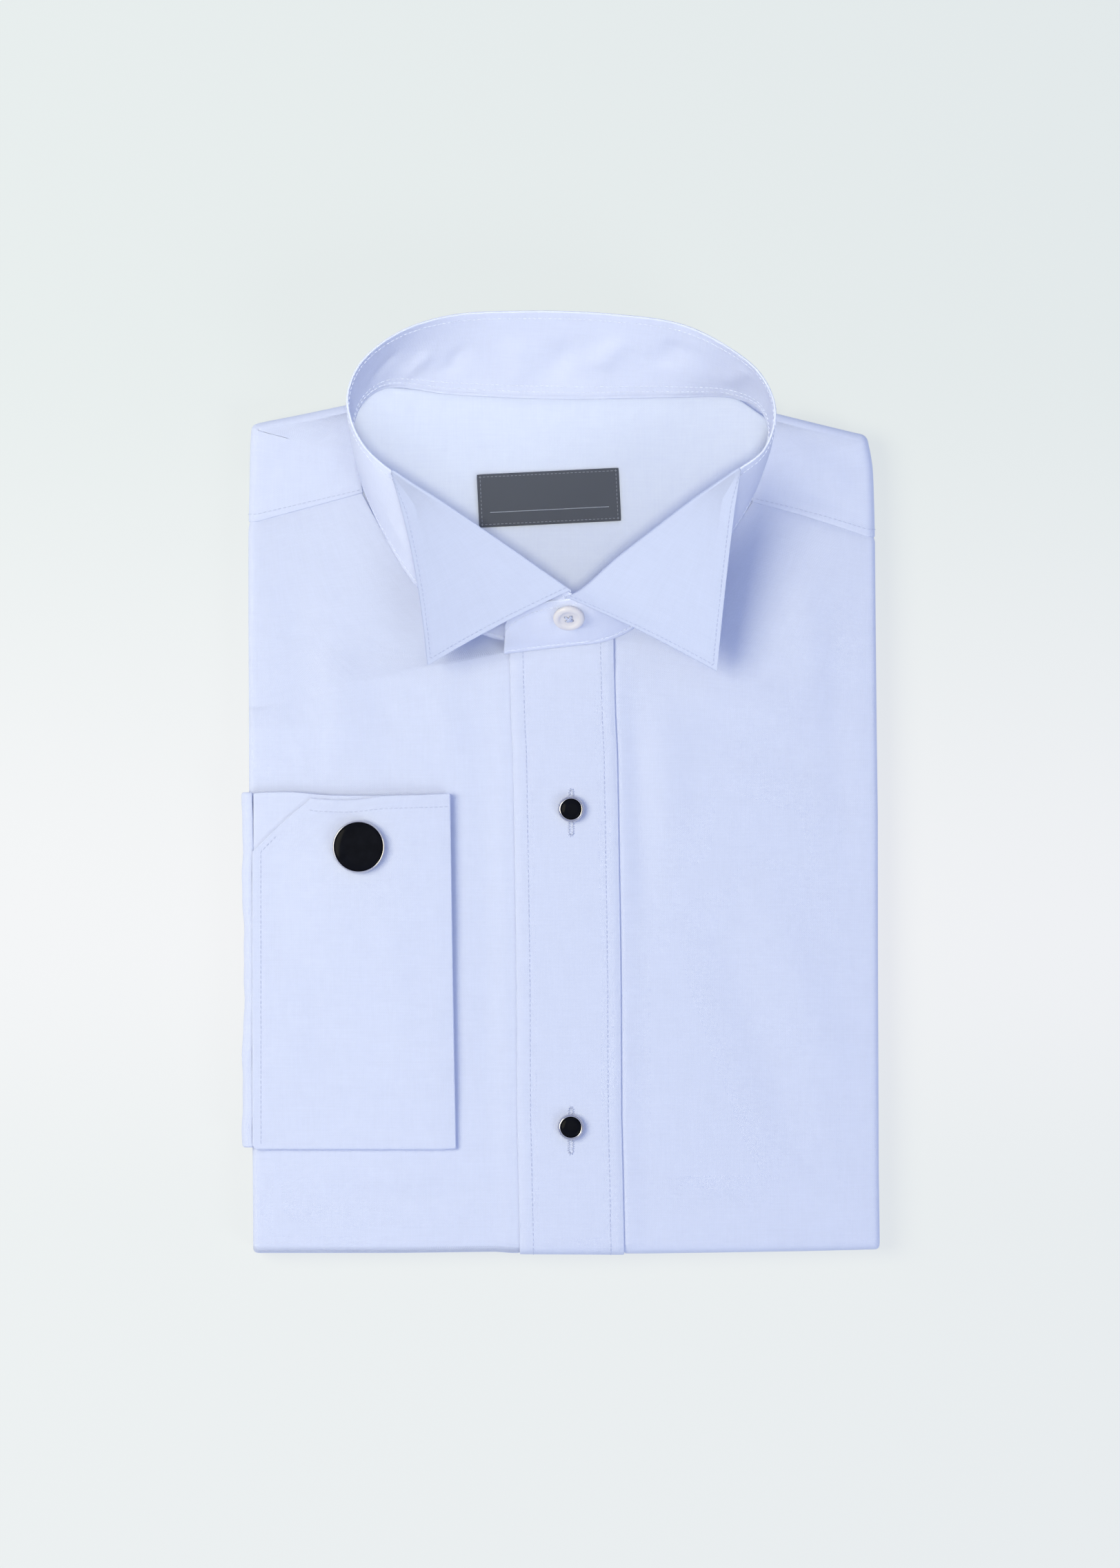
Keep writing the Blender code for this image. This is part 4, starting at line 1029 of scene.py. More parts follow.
def front_grid(side, thick):
    """Middle points of one front: panel, side fold and turned-in side, round the bottom fold."""
    neck = spline(NECK_ROWS[side], 38)
    lap = PLACKET_LAP if side < 0 else PLACKET_LAP + 0.3
    lap_rows = [20.0 - 2.5 * k for k in range(65)]
    x, y, edge = neck[0]
    stations = [(x, y + reach, edge + reach, 0.0, drop) for reach, drop in YOKE_TUCK]
    stations += [(x, y, edge, 0.0, 0.0) for x, y, edge in neck[1:]]
    stations += [(placket_x(y) + lap, y, y, 0.0, 0.0) for y in lap_rows]
    clear = side * (PLACKET_WIDTH / 2 + 0.25)
    stations += [(placket_x(y) + lap, y, y, 0.0, 0.0)
                 for y in np.linspace(-142.5, FOLD_AXIS_Y, 10)[:-1]]
    for y, turn in row_stations([FOLD_AXIS_Y], FLAP_END - 0.4):
        inner = lap + (clear - lap) * smooth((turn - 0.05) / 0.25)
        stations.append((placket_x(y) + inner, y, y, turn, 0.0))
    grid = []
    half = thick / 2
    for x_in, y_in, y_side, turn, drop in stations:
        face = FRONT_N_TOP + (FRONT_N_UNDER - FRONT_N_TOP) * turn - drop
        radius = (face - RETURN_N) / 2
        centre = RETURN_N + radius
        bend_x = side_x(side, y_side) - side * (radius + drop)
        share = np.linspace(0.0, 1.0, PANEL_POINTS) ** 1.6
        x = x_in + half * side + (bend_x - x_in - half * side) * share
        y = y_in + (y_side - y_in) * share
        n = np.full(PANEL_POINTS, face - half)
        fade = smooth((1.0 - share) * 8.0) * smooth(share * 40.0 + 0.1)
        if turn == 0.0:
            fade = fade * smooth((y - FOLD_AXIS_Y) / 14.0) * smooth((neck[0, 1] + 3.0 - y) / 6.0)
            n = n + creases(PANEL_CREASES, x, y) * fade
            beside = np.abs(x - placket_x(y)) - PLACKET_WIDTH / 2
            rise = 0.2 + 0.45 * smooth(beside)
            n = n + rise * smooth(1.0 - beside / 9.0) * smooth((46.0 - y) / 8.0)
        elif turn == 1.0:
            n = n + np.abs(creases(UNDER_CREASES, x, y)) * -fade * smooth((y - FOLD_AXIS_Y) / 14.0)
        angle = half_turn(FOLD_POINTS)
        bend_n = centre + (radius - half) * squared(np.sin(angle))
        bend = bend_x + side * (radius - half) * squared(np.cos(angle))
        back = np.linspace(bend_x, side * RETURN_REACH, RETURN_POINTS)
        x = np.concatenate((x, bend, back))
        n = np.concatenate((n, bend_n, np.full(RETURN_POINTS, RETURN_N + half)))
        y = np.concatenate((y, np.full(FOLD_POINTS + RETURN_POINTS, y_side)))
        grid.append(fold_point(x, n, y, turn))
    return np.array(grid)


def neck_y(x):
    rows = np.array(SEAM_LINE[:5])
    return np.interp(x, rows[:, 0], rows[:, 1])


PLACKET_COLUMNS = (0.0, 2.5, 5.0, 7.5, 10.0, 12.0, 13.1, 13.6, 14.0, 14.4, 14.9, 16.2, 17.2,
                   17.8, 18.2, 18.5)
STITCH_INSET = 14.0         # placket stitching, from its middle


def placket_face(x_off):
    """Relief across the placket: a stitched trough inside each puffed edge."""
    off = np.abs(x_off)
    seam = 0.05 * smooth((off - 14.2) / 2.0) - 0.04 * bell(off, STITCH_INSET, 0.6)
    return seam - 0.35 * smooth((off - 16.9) / 1.7)


def placket_grid(thick):
    half = thick / 2
    columns = np.array([-c for c in reversed(PLACKET_COLUMNS[1:])] + list(PLACKET_COLUMNS))
    columns = columns * ((PLACKET_WIDTH / 2 - half) / PLACKET_COLUMNS[-1])
    grid = []
    for y, turn in row_stations([44.0], FLAP_END - 1.0, spacing=2.2):
        face = PLACKET_N_TOP + (FRONT_N_UNDER - PLACKET_N_TOP) * turn
        x = placket_x(y) + columns
        relief = placket_face(columns) * (1.0 - smooth(turn * 2.0))
        relief = relief - 0.15 - 0.15 * smooth(turn * 2.0 - 1.0)
        if turn == 0.0:
            relief = relief + 0.4 * creases(PANEL_CREASES, x + 3.0, np.full_like(x, y))
        grid.append(fold_point(x, face - half + relief, np.full_like(x, y), turn))
    top = []
    for part in np.linspace(0.0, 1.0, 8)[:-1]:
        x = placket_x(47.0) + columns
        y = (neck_y(x) - 0.2) * (1.0 - part) + 44.0 * part
        n = np.full_like(x, PLACKET_N_TOP - half) + placket_face(columns) - 0.15
        top.append(fold_point(x, n, y, 0.0))
    return np.array(top + grid)


# ---------------------------------------------------------------- yoke
LOBE_ROWS, LOBE_COLUMNS, LOBE_FOLD_POINTS = 60, 26, 10


def yoke_lobe(side, thick):
    """Middle points of the yoke over one shoulder, round its fold to the underside."""
    half = thick / 2
    outer = spline(SHOULDER_FOLD[side], LOBE_ROWS)
    inner = spline(NECK_EDGE[side], LOBE_ROWS)
    along = unit(np.gradient(outer, axis=0))
    outward = np.stack((-along[:, 1], along[:, 0]), axis=1) * (-side)
    radius = (FRONT_TOP_Z - PLATE_Z) / 2
    centre_z = (FRONT_TOP_Z + PLATE_Z) / 2
    ridge = outer - outward * radius
    rows = []
    for s in range(LOBE_ROWS):
        part = s / (LOBE_ROWS - 1)
        share = np.linspace(0.0, 1.0, LOBE_COLUMNS)[:, None]
        line = inner[s] + (ridge[s] - inner[s]) * share
        line[:, 1] += 0.6 * (side > 0) * (4 * share * (1 - share))[:, 0] * (1 - part) ** 2
        z = np.full(LOBE_COLUMNS, FRONT_TOP_Z - half)
        seam_lift = 0.12 * math.exp(-(s / 2.5) ** 2) if s else 0.0
        fade = smooth((1.0 - share[:, 0]) * 4.0) * smooth(part * 8.0) * smooth(share[:, 0] * 6.0)
        z = z + seam_lift + creases(YOKE_CREASES, line[:, 0], line[:, 1]) * fade
        angle = half_turn(LOBE_FOLD_POINTS)
        bend = ridge[s] + outward[s] * ((radius - half) * np.cos(angle))[:, None]
        bend_z = centre_z + (radius - half) * np.sin(angle)
        back = ridge[s] - outward[s] * (np.linspace(1.5, 7.0, 4) * (1.0 - 0.5 * part))[:, None]
        back_z = np.full(4, PLATE_Z + half)
        plan = np.vstack((line, bend, back))
        rows.append(np.hstack((plan, np.concatenate((z, bend_z, back_z))[:, None])))
    return np.array(rows)


YOKE_CREASES = (
    (-108.0, 108.0, -78.0, 118.0, 4.0, 0.40),
    (-104.0, 120.0, -80.0, 128.0, 4.0, -0.45),
    (84.0, 118.0, 108.0, 106.0, 4.0, 0.45),
    (82.0, 108.0, 110.0, 97.0, 3.0, -0.36),
    (80.0, 127.0, 108.0, 119.0, 3.5, -0.40),
)


def yoke_object(material, thick):
    """Both shoulders and the back plate as one cloth."""
    plate = closed_outline(YOKE_PLATE, 3.0, 2.0)
    parts = [sheet_data(yoke_lobe(side, thick), thick) for side in (-1, 1)]
    parts.append(stack_data(pillow_loops(plate, PLATE_Z, PLATE_Z + thick, 4)))
    return merged("yoke_cloth", parts, material)


def lining_object(material):
    """The inner yoke: a flat sheet with a soft edge and faint waves."""
    outline = closed_outline(LINING_OUTLINE, 2.5, 3.0)
    middle = outline.mean(axis=0)
    loops = [np.hstack((inset(outline, 1.0), np.full((len(outline), 1), LINING_Z)))]
    loops.append(np.hstack((outline, np.full((len(outline), 1), LINING_Z + 0.3))))
    for share in (1.0, 0.985, 0.96, 0.9, 0.82, 0.74, 0.66, 0.58, 0.5, 0.42, 0.34, 0.26, 0.18, 0.1):
        ring = middle + (outline - middle) * share
        z = LINING_Z + (0.7 if share == 1.0 else 0.95)
        wave = creases(LINING_CREASES, ring[:, 0], ring[:, 1]) * smooth((1.0 - share) * 10.0)
        loops.append(np.hstack((ring, (z + wave)[:, None])))
    return merged("yoke_lining_cloth", [stack_data(loops)], material)


LINING_CREASES = (
    (-66.0, 132.0, -40.0, 96.0, 6.0, 0.45),
    (-36.0, 136.0, -28.0, 88.0, 6.0, -0.38),
    (34.0, 134.0, 44.0, 88.0, 7.0, 0.38),
    (66.0, 124.0, 40.0, 84.0, 6.0, -0.45),
)


# ---------------------------------------------------------------- hidden layers
CORE_SLOT = 41.0            # how deep the turned-in sides go between the layers
# low z, high z, inset of the edges, number of layers in each stack
CORE_STACKS = (
    (1.5, 2.5, 3.2, 1),
    (4.3, 6.7, 1.5, 4),
    (8.5, 11.5, 4.3, 4),
)


def core_rings():
    """(inset, z) down the edges of the hidden layers: each layer turns in a round fold."""
    rows = []
    for low, high, edge, layers in CORE_STACKS:
        if rows:
            rows.append((CORE_SLOT, low))
        step = (high - low) / layers
        for k in range(layers):
            back = edge + 0.5 * math.sin(2.3 * k + low)
            rows += [(back + 1.0 * (1.0 - math.sin(math.pi * part)), low + step * (k + part))
                     for part in (0.05, 0.2, 0.5, 0.8, 0.95)]
        if high < 11.0:
            rows.append((CORE_SLOT, high))
    return rows


def core_object(material):
    """Back, tail, both sleeves and the other cuff, layered at their edges."""
    count = 360
    turn = np.linspace(0.0, math.tau, count, endpoint=False)
    loops = []
    for edge, z in core_rings():
        ring = closed_outline(inset(CORE_OUTLINE, edge), 3.0, 6.0, count)
        if edge < 10.0:
            sway = 0.25 * np.sin(7 * turn + 1.7 * z) + 0.2 * np.sin(17 * turn - 2.9 * z)
            ring = inset(ring, sway)
        loops.append(np.hstack((ring, np.full((count, 1), z))))
    points, faces, _ = stack_data(loops)
    uv = np.stack((np.tile(turn * 110.0, len(loops)), points[:, 2] * 2.0), axis=1)
    core = new_object("hidden_layers_cloth", points, faces, material, uv)
    neck = inset(closed_outline(LINING_OUTLINE, 6.0, 3.0), -0.6)
    cut(core, slab("neck_room", neck, LINING_Z - 0.3, 14.0))
    low_y, high_y = SLEEVE_Y
    pocket = ((-130.0, low_y - 0.8), (-130.0, high_y + 0.8),
              (SLEEVE_END_X + 0.4, high_y + 0.8), (SLEEVE_END_X + 0.4, low_y - 0.8))
    cut(core, slab("sleeve_room", pocket, 4.0, 7.0))
    for name, x, y in STUDS:
        cut(core, slab(name + "_room", round_outline(x, y, STUD_BACK_RADIUS + 0.3), 10.0, 14.0))
    return core


def round_outline(x, y, radius, count=40):
    """A clockwise circle."""
    turn = -np.linspace(0.0, math.tau, count, endpoint=False)
    return np.stack((x + radius * np.cos(turn), y + radius * np.sin(turn)), axis=1)


def slab(name, outline, low, high, material=None):
    """A flat-topped solid between two heights."""
    outline = np.asarray(outline, float)
    loops = [np.hstack((outline, np.full((len(outline), 1), z))) for z in (low, high)]
    points, faces, uv = stack_data(loops)
    made = new_object(name, points, faces, material or cotton_finish(), uv)
    made.data.shade_flat()
    return made


def cut(target, cutter):
    """Cuts one mesh out of another for good."""
    modifier = target.modifiers.new("cut", "BOOLEAN")
    modifier.object = cutter
    modifier.operation = "DIFFERENCE"
    modifier.solver = "EXACT"
    plain = evaluated_mesh(target)
    target.modifiers.remove(modifier)
    target.data = plain
    bpy.data.objects.remove(cutter)
    if not plain.polygons:
        raise RuntimeError(f"{target.name}: the cut left nothing")


# ---------------------------------------------------------------- collar
SEAM_CURVE = spline(SEAM_LINE, BAND_STATIONS)
TOP_CURVE = spline(TOP_LINE, BAND_STATIONS)
# along the band and up it at both ends, width, height: creases of the band
BAND_CREASES = (
    (150.0, 30.0, 158.0, 8.0, 4.0, -1.00),
    (176.0, 31.0, 182.0, 14.0, 5.0, 0.90),
    (196.0, 31.0, 206.0, 12.0, 4.5, -1.00),
    (214.0, 29.0, 224.0, 6.0, 5.0, 0.80),
    (128.0, 28.0, 136.0, 6.0, 3.5, -0.90),
    (236.0, 30.0, 232.0, 4.0, 4.0, -0.80),
    (252.0, 26.0, 262.0, 6.0, 3.0, 0.80),
    (264.0, 24.0, 276.0, 4.0, 2.4, -0.80),
    (276.0, 26.0, 290.0, 6.0, 2.6, 0.70),
    (92.0, 26.0, 106.0, 6.0, 3.0, -0.70),
    (14.0, 10.0, 40.0, 12.0, 3.0, -0.50),
    (340.0, 14.0, 362.0, 8.0, 3.0, 0.50),
)
BAND_TOP_STITCH = 3.4       # stitching below the band's top edge
BAND_TO_CLOTH = 0.5         # how far the band reaches down past its seam line
BAND_NEAR = (0.0, 0.5, 0.9, 1.3, 1.7, 2.1, 2.5, 3.1, 4.2)   # columns above the seam
BAND_UPS = 12


def band_frames(along):
    """Seam points, rises and outward normals of the band at fractions of its length."""
    at = np.clip(np.asarray(along, float), 0.0, 1.0) * (BAND_STATIONS - 1)
    index = np.arange(BAND_STATIONS)
    after, before = np.minimum(index + 4, BAND_STATIONS - 1), np.maximum(index - 4, 0)
    run = SEAM_CURVE[after] - SEAM_CURVE[before] + TOP_CURVE[after] - TOP_CURVE[before]

    def read(curve):
        return np.stack([np.interp(at, index, curve[:, k]) for k in range(3)], axis=-1)

    seam, rise = read(SEAM_CURVE), read(TOP_CURVE - SEAM_CURVE)
    return seam, rise, unit(np.cross(read(run), rise))


def band_grid(half):
    """Middle points of the band: rows along it, columns from the seam to its top edge."""
    seam, rise, normal = band_frames(np.linspace(0.0, 1.0, BAND_STATIONS))
    height = np.linalg.norm(rise, axis=1)
    steps = np.linalg.norm(np.diff(seam + rise / 2, axis=0), axis=1)
    reach = running(steps)
    down = np.array((5.6, 4.6, 3.9, BAND_TOP_STITCH, 2.9, 2.2, 1.4, 0.8, half))
    scale = np.minimum(1.0, height / 16.0)
    ups = [(half - BAND_TO_CLOTH + near) / height for near in BAND_NEAR]
    low, high = ups[-1], 1.0 - down[0] * scale / height
    ups += [low + (high - low) * k / BAND_UPS for k in range(1, BAND_UPS)]
    ups += [1.0 - one * scale / height for one in down]
    grid = []
    for up in ups:
        from_top = (1.0 - up) * height / scale
        out = BAND_BOW * np.sin(math.pi * np.maximum(up, 0.0))
        fade = smooth(up * 6.0) * smooth(from_top / 4.0)
        out = out + creases(BAND_CREASES, reach, up * height) * fade + seam_relief(up * height)
        grid.append(seam + rise * up[:, None] + normal * out[:, None])
    return np.stack(grid, axis=1)


def seam_relief(above):
    """A rolled strip along the band's seam, with a stitched groove above it."""
    return 0.12 * bell(above, 0.9, 0.5) - 0.07 * bell(above, 1.9, 0.4)


def top_fraction(x, start, stop):
    """Where the band's top edge passes x, as a fraction of its length."""
    shares = np.linspace(start, stop, 801)
    seam, rise, _ = band_frames(shares)
    return shares[np.argmin(np.abs((seam + rise)[:, 0] - x))]


WING_STITCH = 1.9           # stitching inside the wings' edges


def wing_grid(first_x, last_x, span, tip, edge_bow, half):
    """Middle points of a wing: rows from its front edge to its heel, columns down its roll."""
    first, last = (top_fraction(x, *span) for x in (first_x, last_x))
    tip = np.array(tip)
    seam, rise, _ = band_frames(last)
    heel = seam + rise
    edge = np.linalg.norm(heel - tip)
    near = np.array((half, 0.8, 1.1, 1.35, 1.6, WING_STITCH, 2.2, 2.6, 3.3, 4.4, 6.0)) / edge
    shares = np.concatenate((near, np.linspace(near[-1], 1.0, 44)[1:])) * WING_LAST
    grid = []
    for share in shares:
        seam, rise, _ = band_frames(first + (last - first) * share)
        up = unit(rise)
        root = seam + rise + up * (0.15 + half)
        bend = WING_ROLL * min(1.0, 0.3 + 3.0 * (1.0 - share))
        target = tip + (heel - tip) * share
        target[0] -= math.copysign(edge_bow * math.sin(math.pi * share), target[0])
        reach = target - root
        out = unit(reach - up * (reach @ up))
        far, high = reach @ out, reach @ up
        gap = math.hypot(far - bend, high)
        last_angle = math.pi - math.atan2(high, far - bend) - math.acos(min(1.0, bend / gap))
        angle = (last_angle * np.linspace(0.0, 1.0, 13))[:, None]
        normal = up * np.sin(angle) - out * np.cos(angle)
        roll = root + out * bend + normal * bend
        start, normal = roll[-1], normal[-1]
        length = np.linalg.norm(target - start)
        close = np.array((6.0, 4.4, 3.3, 2.6, 2.2, WING_STITCH, 1.6, 1.35, 1.1, 0.8, half))
        close = close * min(1.0, length / 12.0)
        part = np.concatenate((np.linspace(0.0, length - close[0], 22)[1:-1], length - close)) / length
        from_edge = (1.0 - part) * length
        from_front = share / WING_LAST * edge
        lift = WING_BOW * (1.0 - share) * np.sin(math.pi * part)
        lift = lift + wing_relief(from_edge) + wing_relief(np.full_like(part, from_front))
        flat = start + (target - start) * part[:, None] + normal * lift[:, None]
        grid.append(np.vstack((roll, flat)))
    return np.array(grid)


def wing_relief(inside):
    """A stitched trough, with the seam inside the edge standing a little proud."""
    return 0.05 * bell(inside, 3.4, 1.2) - 0.05 * bell(inside, WING_STITCH, 0.5)


# radius, height: the button from its back over the rim to its dished middle
BUTTON_PROFILE = (
    (0.0, 0.0), (4.6, 0.0), (5.3, 0.25), (5.62, 0.75), (5.7, 1.15), (5.55, 1.6), (5.2, 1.95),
    (4.75, 2.14), (4.3, 2.2), (3.9, 2.16), (3.55, 2.0), (3.3, 1.82), (3.0, 1.7), (2.0, 1.62),
    (0.0, 1.6),
)
BUTTON_HOLE = (0.6, 1.0)      # radius, offset from the middle along both axes


def button_place():
    seam, rise, normal = band_frames(BUTTON_ALONG)
    lift = 1.0 + BAND_BOW * math.sin(math.pi * BUTTON_UP)
    centre = seam + rise * BUTTON_UP + normal * lift
    across = unit(np.cross(normal, rise))
    turn = Matrix([Vector(v) for v in (across, np.cross(normal, across), normal)])
    tilt = Matrix.Rotation(math.radians(BUTTON_TILT), 4, "X")
    return Matrix.Translation(Vector(centre)) @ turn.transposed().to_4x4() @ tilt


def rod(name, place, radius, low, high, steps=24):
    profile = ((0.0, low), (radius, low), (radius, high), (0.0, high))
    return lathe(name, profile, place, cotton_finish(), steps)


# ---------------------------------------------------------------- cuff and sleeve
# x, y at both ends, width, height: soft creases of the cuff
CUFF_CREASES = (
    (-92.0, -52.0, -84.0, -118.0, 7.0, -0.22),
    (-62.0, -40.0, -58.0, -110.0, 6.0, 0.22),
    (-104.0, -60.0, -50.0, -78.0, 7.0, 0.18),
    (-100.0, -104.0, -48.0, -96.0, 8.0, -0.2),
)
CUFF_SIDE_STITCH = 2.9      # stitching inside the cuff's free edge, and inside its top edge
CUFF_TOP_STITCH = 4.5


def cuff_height(x, y):
    """Height of the cuff's middle: lowest at its fold, highest over the link's toggle."""
    low = CUFF_SETTLE * (1.0 - smooth((y - CUFF_FOLD_Y) / 30.0))
    lift = CUFF_LIFT * smooth((y - CUFF_LIFT_FROM) / (CUFF_LIFT_TO - CUFF_LIFT_FROM))
    beside = smooth((np.abs(x - LINK_CENTRE[0]) - 8.0) / 26.0)
    return CUFF_REST_Z - low + lift * (1.0 - 0.6 * beside)


def cuff_section(y, turn):
    """(x, n) of the cuff's doubled cloth at y, from its free edge to its seam."""
    fold_x = np.interp(y, CUFF_TURN_LINE[:, 0], CUFF_TURN_LINE[:, 1])
    pressed = 0.8 + 0.2 * smooth((y - CUFF_FOLD_Y) / 30.0)
    radius = (CUFF_OUTER_N - CUFF_SLOPE - CUFF_INNER_N) / 2
    middle = CUFF_INNER_N + radius
    bend_x = fold_x - radius - 0.45
    free_x = CUFF_FREE_X + max(CUFF_BACK_SHIFT * turn, CUFF_MITRE - (CUFF_TOP_Y - y)) + 0.45
    near = np.array((0.0, 0.4, 0.9, 1.6, 2.1, 2.5, CUFF_SIDE_STITCH, 3.3, 3.8, 4.6, 6.0, 8.0))
    outer = np.concatenate((free_x + near, np.linspace(free_x + 8.0, bend_x - 6.0, 24)[1:],
                            np.linspace(bend_x - 6.0, bend_x, 11)[1:]))
    angle = half_turn(9)
    inner = np.linspace(bend_x, CUFF_SEAM_X + 0.45, 16)
    x = np.concatenate((outer, bend_x + radius * np.cos(angle), inner))
    n_outer = CUFF_OUTER_N - CUFF_SLOPE * np.clip(1.0 - (bend_x - outer) / 6.0, 0.0, 1.0) ** 2
    n = np.concatenate((n_outer, middle + radius * np.sin(angle),
                        np.full(len(inner), CUFF_INNER_N)))
    inside = np.concatenate((outer - free_x, np.full(len(x) - len(outer), 99.0)))
    corner = smooth((x - bend_x + 4.0) / 4.0) * (np.arange(len(x)) >= len(outer))
    reach = n + (n_outer[-1] - n) * corner
    return x, n * pressed, reach * pressed, inside, len(outer)


def cuff_grid():
    near = np.array((0.0, 0.4, 0.9, 1.8, 2.8, 3.6, 4.1, CUFF_TOP_STITCH, 4.9, 5.5, 6.8, 8.4))
    mitre = CUFF_TOP_Y - CUFF_MITRE
    top = np.concatenate((CUFF_TOP_Y - near - 0.45, np.arange(CUFF_TOP_Y - 10.0, mitre, -1.6),
                          (mitre,), np.arange(mitre - 2.0, CUFF_FOLD_Y + 1.0, -2.4)))
    rows = [(y, 0.0) for y in top]
    rows += [(CUFF_FOLD_Y, step / 16) for step in range(17)]
    rows += [(y, 1.0) for y in top[::-1]]
    grid = []
    for y, turn in rows:
        x, n, reach, inside, outer = cuff_section(y, turn)
        down = CUFF_TOP_Y - 0.45 - y
        relief = cuff_relief(inside - CUFF_SIDE_STITCH)
        flat = (np.arange(len(x)) < outer) * (turn == 0.0)
        relief = relief + flat * cuff_relief(np.full(len(x), down - CUFF_TOP_STITCH))
        fade = smooth((y - CUFF_FOLD_Y) / 10.0) * smooth(down / 8.0) * smooth(inside / 8.0)
        n = n + flat * (relief + creases(CUFF_CREASES, x, np.full(len(x), y)) * fade)
        sag = cuff_sag(x, y) + flat * CUFF_STEP * smooth((-62.0 - x) / 16.0) * smooth((y + 24.0) / 20.0)
        angle = math.pi * turn
        high = cuff_height(x, y) + n * squared(math.cos(angle))
        along = y - CUFF_STRETCH * reach * squared(math.sin(angle)) - sag
        grid.append(np.stack((x, along, high), axis=1))
    return np.array(grid), len(top)


def cuff_sag(x, y):
    """The open end's edge dips a little between its corners."""
    share = np.clip((x + 108.0) / 70.0, 0.0, 1.0)
    dip = 3.6 * share * (1.0 - share) - 0.9 * bell(x, -98.0, 9.0)
    return dip * smooth((y + 40.0) / 36.0)


def cuff_relief(past):
    """A stitched trough, and the cloth that swells past it."""
    return 0.05 * bell(past, 1.8, 1.6) - 0.04 * bell(past, 0.0, 0.6)


def sleeve_path(y, spread):
    """(x, z) and normal of the sleeve at y, from the cuff round the packet's edge."""
    middle_x = SLEEVE_OUT_X + 1.15
    upper, lower = SLEEVE_UPPER_BEND, SLEEVE_LOWER_BEND
    top = cuff_height(CUFF_SEAM_X, y) - 0.1
    path = [((CUFF_SEAM_X - 0.1 - k, top), (0.0, 1.0)) for k in (0.0, 0.4)]
    for step in range(13):
        angle = math.pi / 2 * (1 + step / 12)
        normal = (math.cos(angle), math.sin(angle))
        path.append(((middle_x + upper * (1 + normal[0]), top - upper * (1 - normal[1])), normal))
    for step in range(10):
        angle = math.pi * (1 + step / 18)
        normal = (math.cos(angle), math.sin(angle))
        path.append(((middle_x + lower * (1 + normal[0]), SLEEVE_Z + lower * (1 + normal[1])), normal))
    path += [((x, SLEEVE_Z), (0.0, -1.0)) for x in (-108.0, -102.0, SLEEVE_END_X)]
    return [((x + spread * nx), z + spread * nz) for (x, z), (nx, nz) in path]


def sleeve_grid():
    """Middle points of the flattened sleeve: rows along it, columns once round it."""
    low_y, high_y = SLEEVE_Y[0] + 1.2, SLEEVE_Y[1] - 1.2
    ring = [(y, -1.0) for y in np.linspace(-66.0, low_y, 22)]
    ring += [(low_y - SLEEVE_HALF * math.sin(a), -math.cos(a)) for a in np.linspace(0.3, 2.84, 7)]
    ring += [(y, 1.0) for y in np.linspace(low_y, high_y, 44)]
    ring += [(high_y + SLEEVE_HALF * math.sin(a), math.cos(a)) for a in np.linspace(0.3, 2.84, 7)]
    ring += [(y, -1.0) for y in np.linspace(high_y, -65.2, 22)]
    columns = []
    for y, side in ring:
        columns.append([(x, y, z) for x, z in sleeve_path(y, SLEEVE_HALF * side)])
    grid = np.array(columns).transpose(1, 0, 2)
    wave = 0.35 * np.sin(grid[..., 1] * 0.21) + 0.2 * np.sin(grid[..., 1] * 0.47 + 1.0)
    bend = smooth((-110.0 - grid[..., 0]) / 3.0)
    pinch = bell(grid[..., 1], -69.0, 21.0)
    grid[..., 0] += (0.75 * pinch - 0.3 + 0.6 * wave) * bend
    return grid


# ---------------------------------------------------------------- studs and link
STUD_RADIUS, STUD_STONE, STUD_HEIGHT = 4.8, 3.55, 2.6
LINK_RADIUS, LINK_STONE, LINK_HEIGHT = 9.6, 8.65, 3.2
STUD_BACK_RADIUS, STUD_BACK_THICK = 4.6, 0.9
POST_RADIUS = 1.2
LINK_TOGGLE = (16.0, 5.0, 1.5)


def setting_profile(radius, stone, height):
    """Cup of a setting: rounded foot, belly and bezel, then down into its seat."""
    seat = height * 0.35
    rim = radius - 0.35
    profile = ((0.0, 0.0), (rim - 0.6, 0.0), (rim, 0.35), (radius, height * 0.45),
               (rim + 0.1, height * 0.85), (stone + 0.5, height), (stone + 0.25, height - 0.05),
               (stone + 0.22, height - 0.5), (stone + 0.3, seat), (0.0, seat))
    return rounded(profile, 0.3)


def stone_profile(stone, height):
    """A low polished dome that fills the seat of its setting."""
    low = height * 0.35 + 0.3
    dome = [(stone * math.sin(a), height - 0.25 + 0.7 * math.cos(a))
            for a in np.linspace(math.pi / 2, 0.0, 14)]
    dome[-1] = (0.0, dome[-1][1])
    return [(0.0, low), (stone - 0.2, low), (stone, low + 0.2)] + dome


# ---------------------------------------------------------------- sewing
def grid_normals(grid):
    return unit(np.cross(np.gradient(grid, axis=0), np.gradient(grid, axis=1)))


def on_cloth(grid, thick, rows, columns, lift=0.06, side=1.0):
    """Points on one face of a cloth at fractional rows and columns of its middle grid."""
    grid = np.asarray(grid, float)
    face = grid + grid_normals(grid) * side * (thick / 2 + lift)
    rows, columns = np.broadcast_arrays(np.asarray(rows, float), np.asarray(columns, float))
    rows = np.clip(rows, 0, grid.shape[0] - 1.001)
    columns = np.clip(columns, 0, grid.shape[1] - 1.001)
    r, c = rows.astype(int), columns.astype(int)
    pr, pc = (rows - r)[:, None], (columns - c)[:, None]
    low = face[r, c] * (1 - pc) + face[r, c + 1] * pc
    high = face[r + 1, c] * (1 - pc) + face[r + 1, c + 1] * pc
    return low * (1 - pr) + high * pr


def facing_up(grid):
    """Which side of a cloth looks up, a third of the way along and across its grid."""
    r, c = grid.shape[0] // 3, grid.shape[1] // 3
    return 1.0 if grid_normals(grid)[r, c, 2] > 0 else -1.0


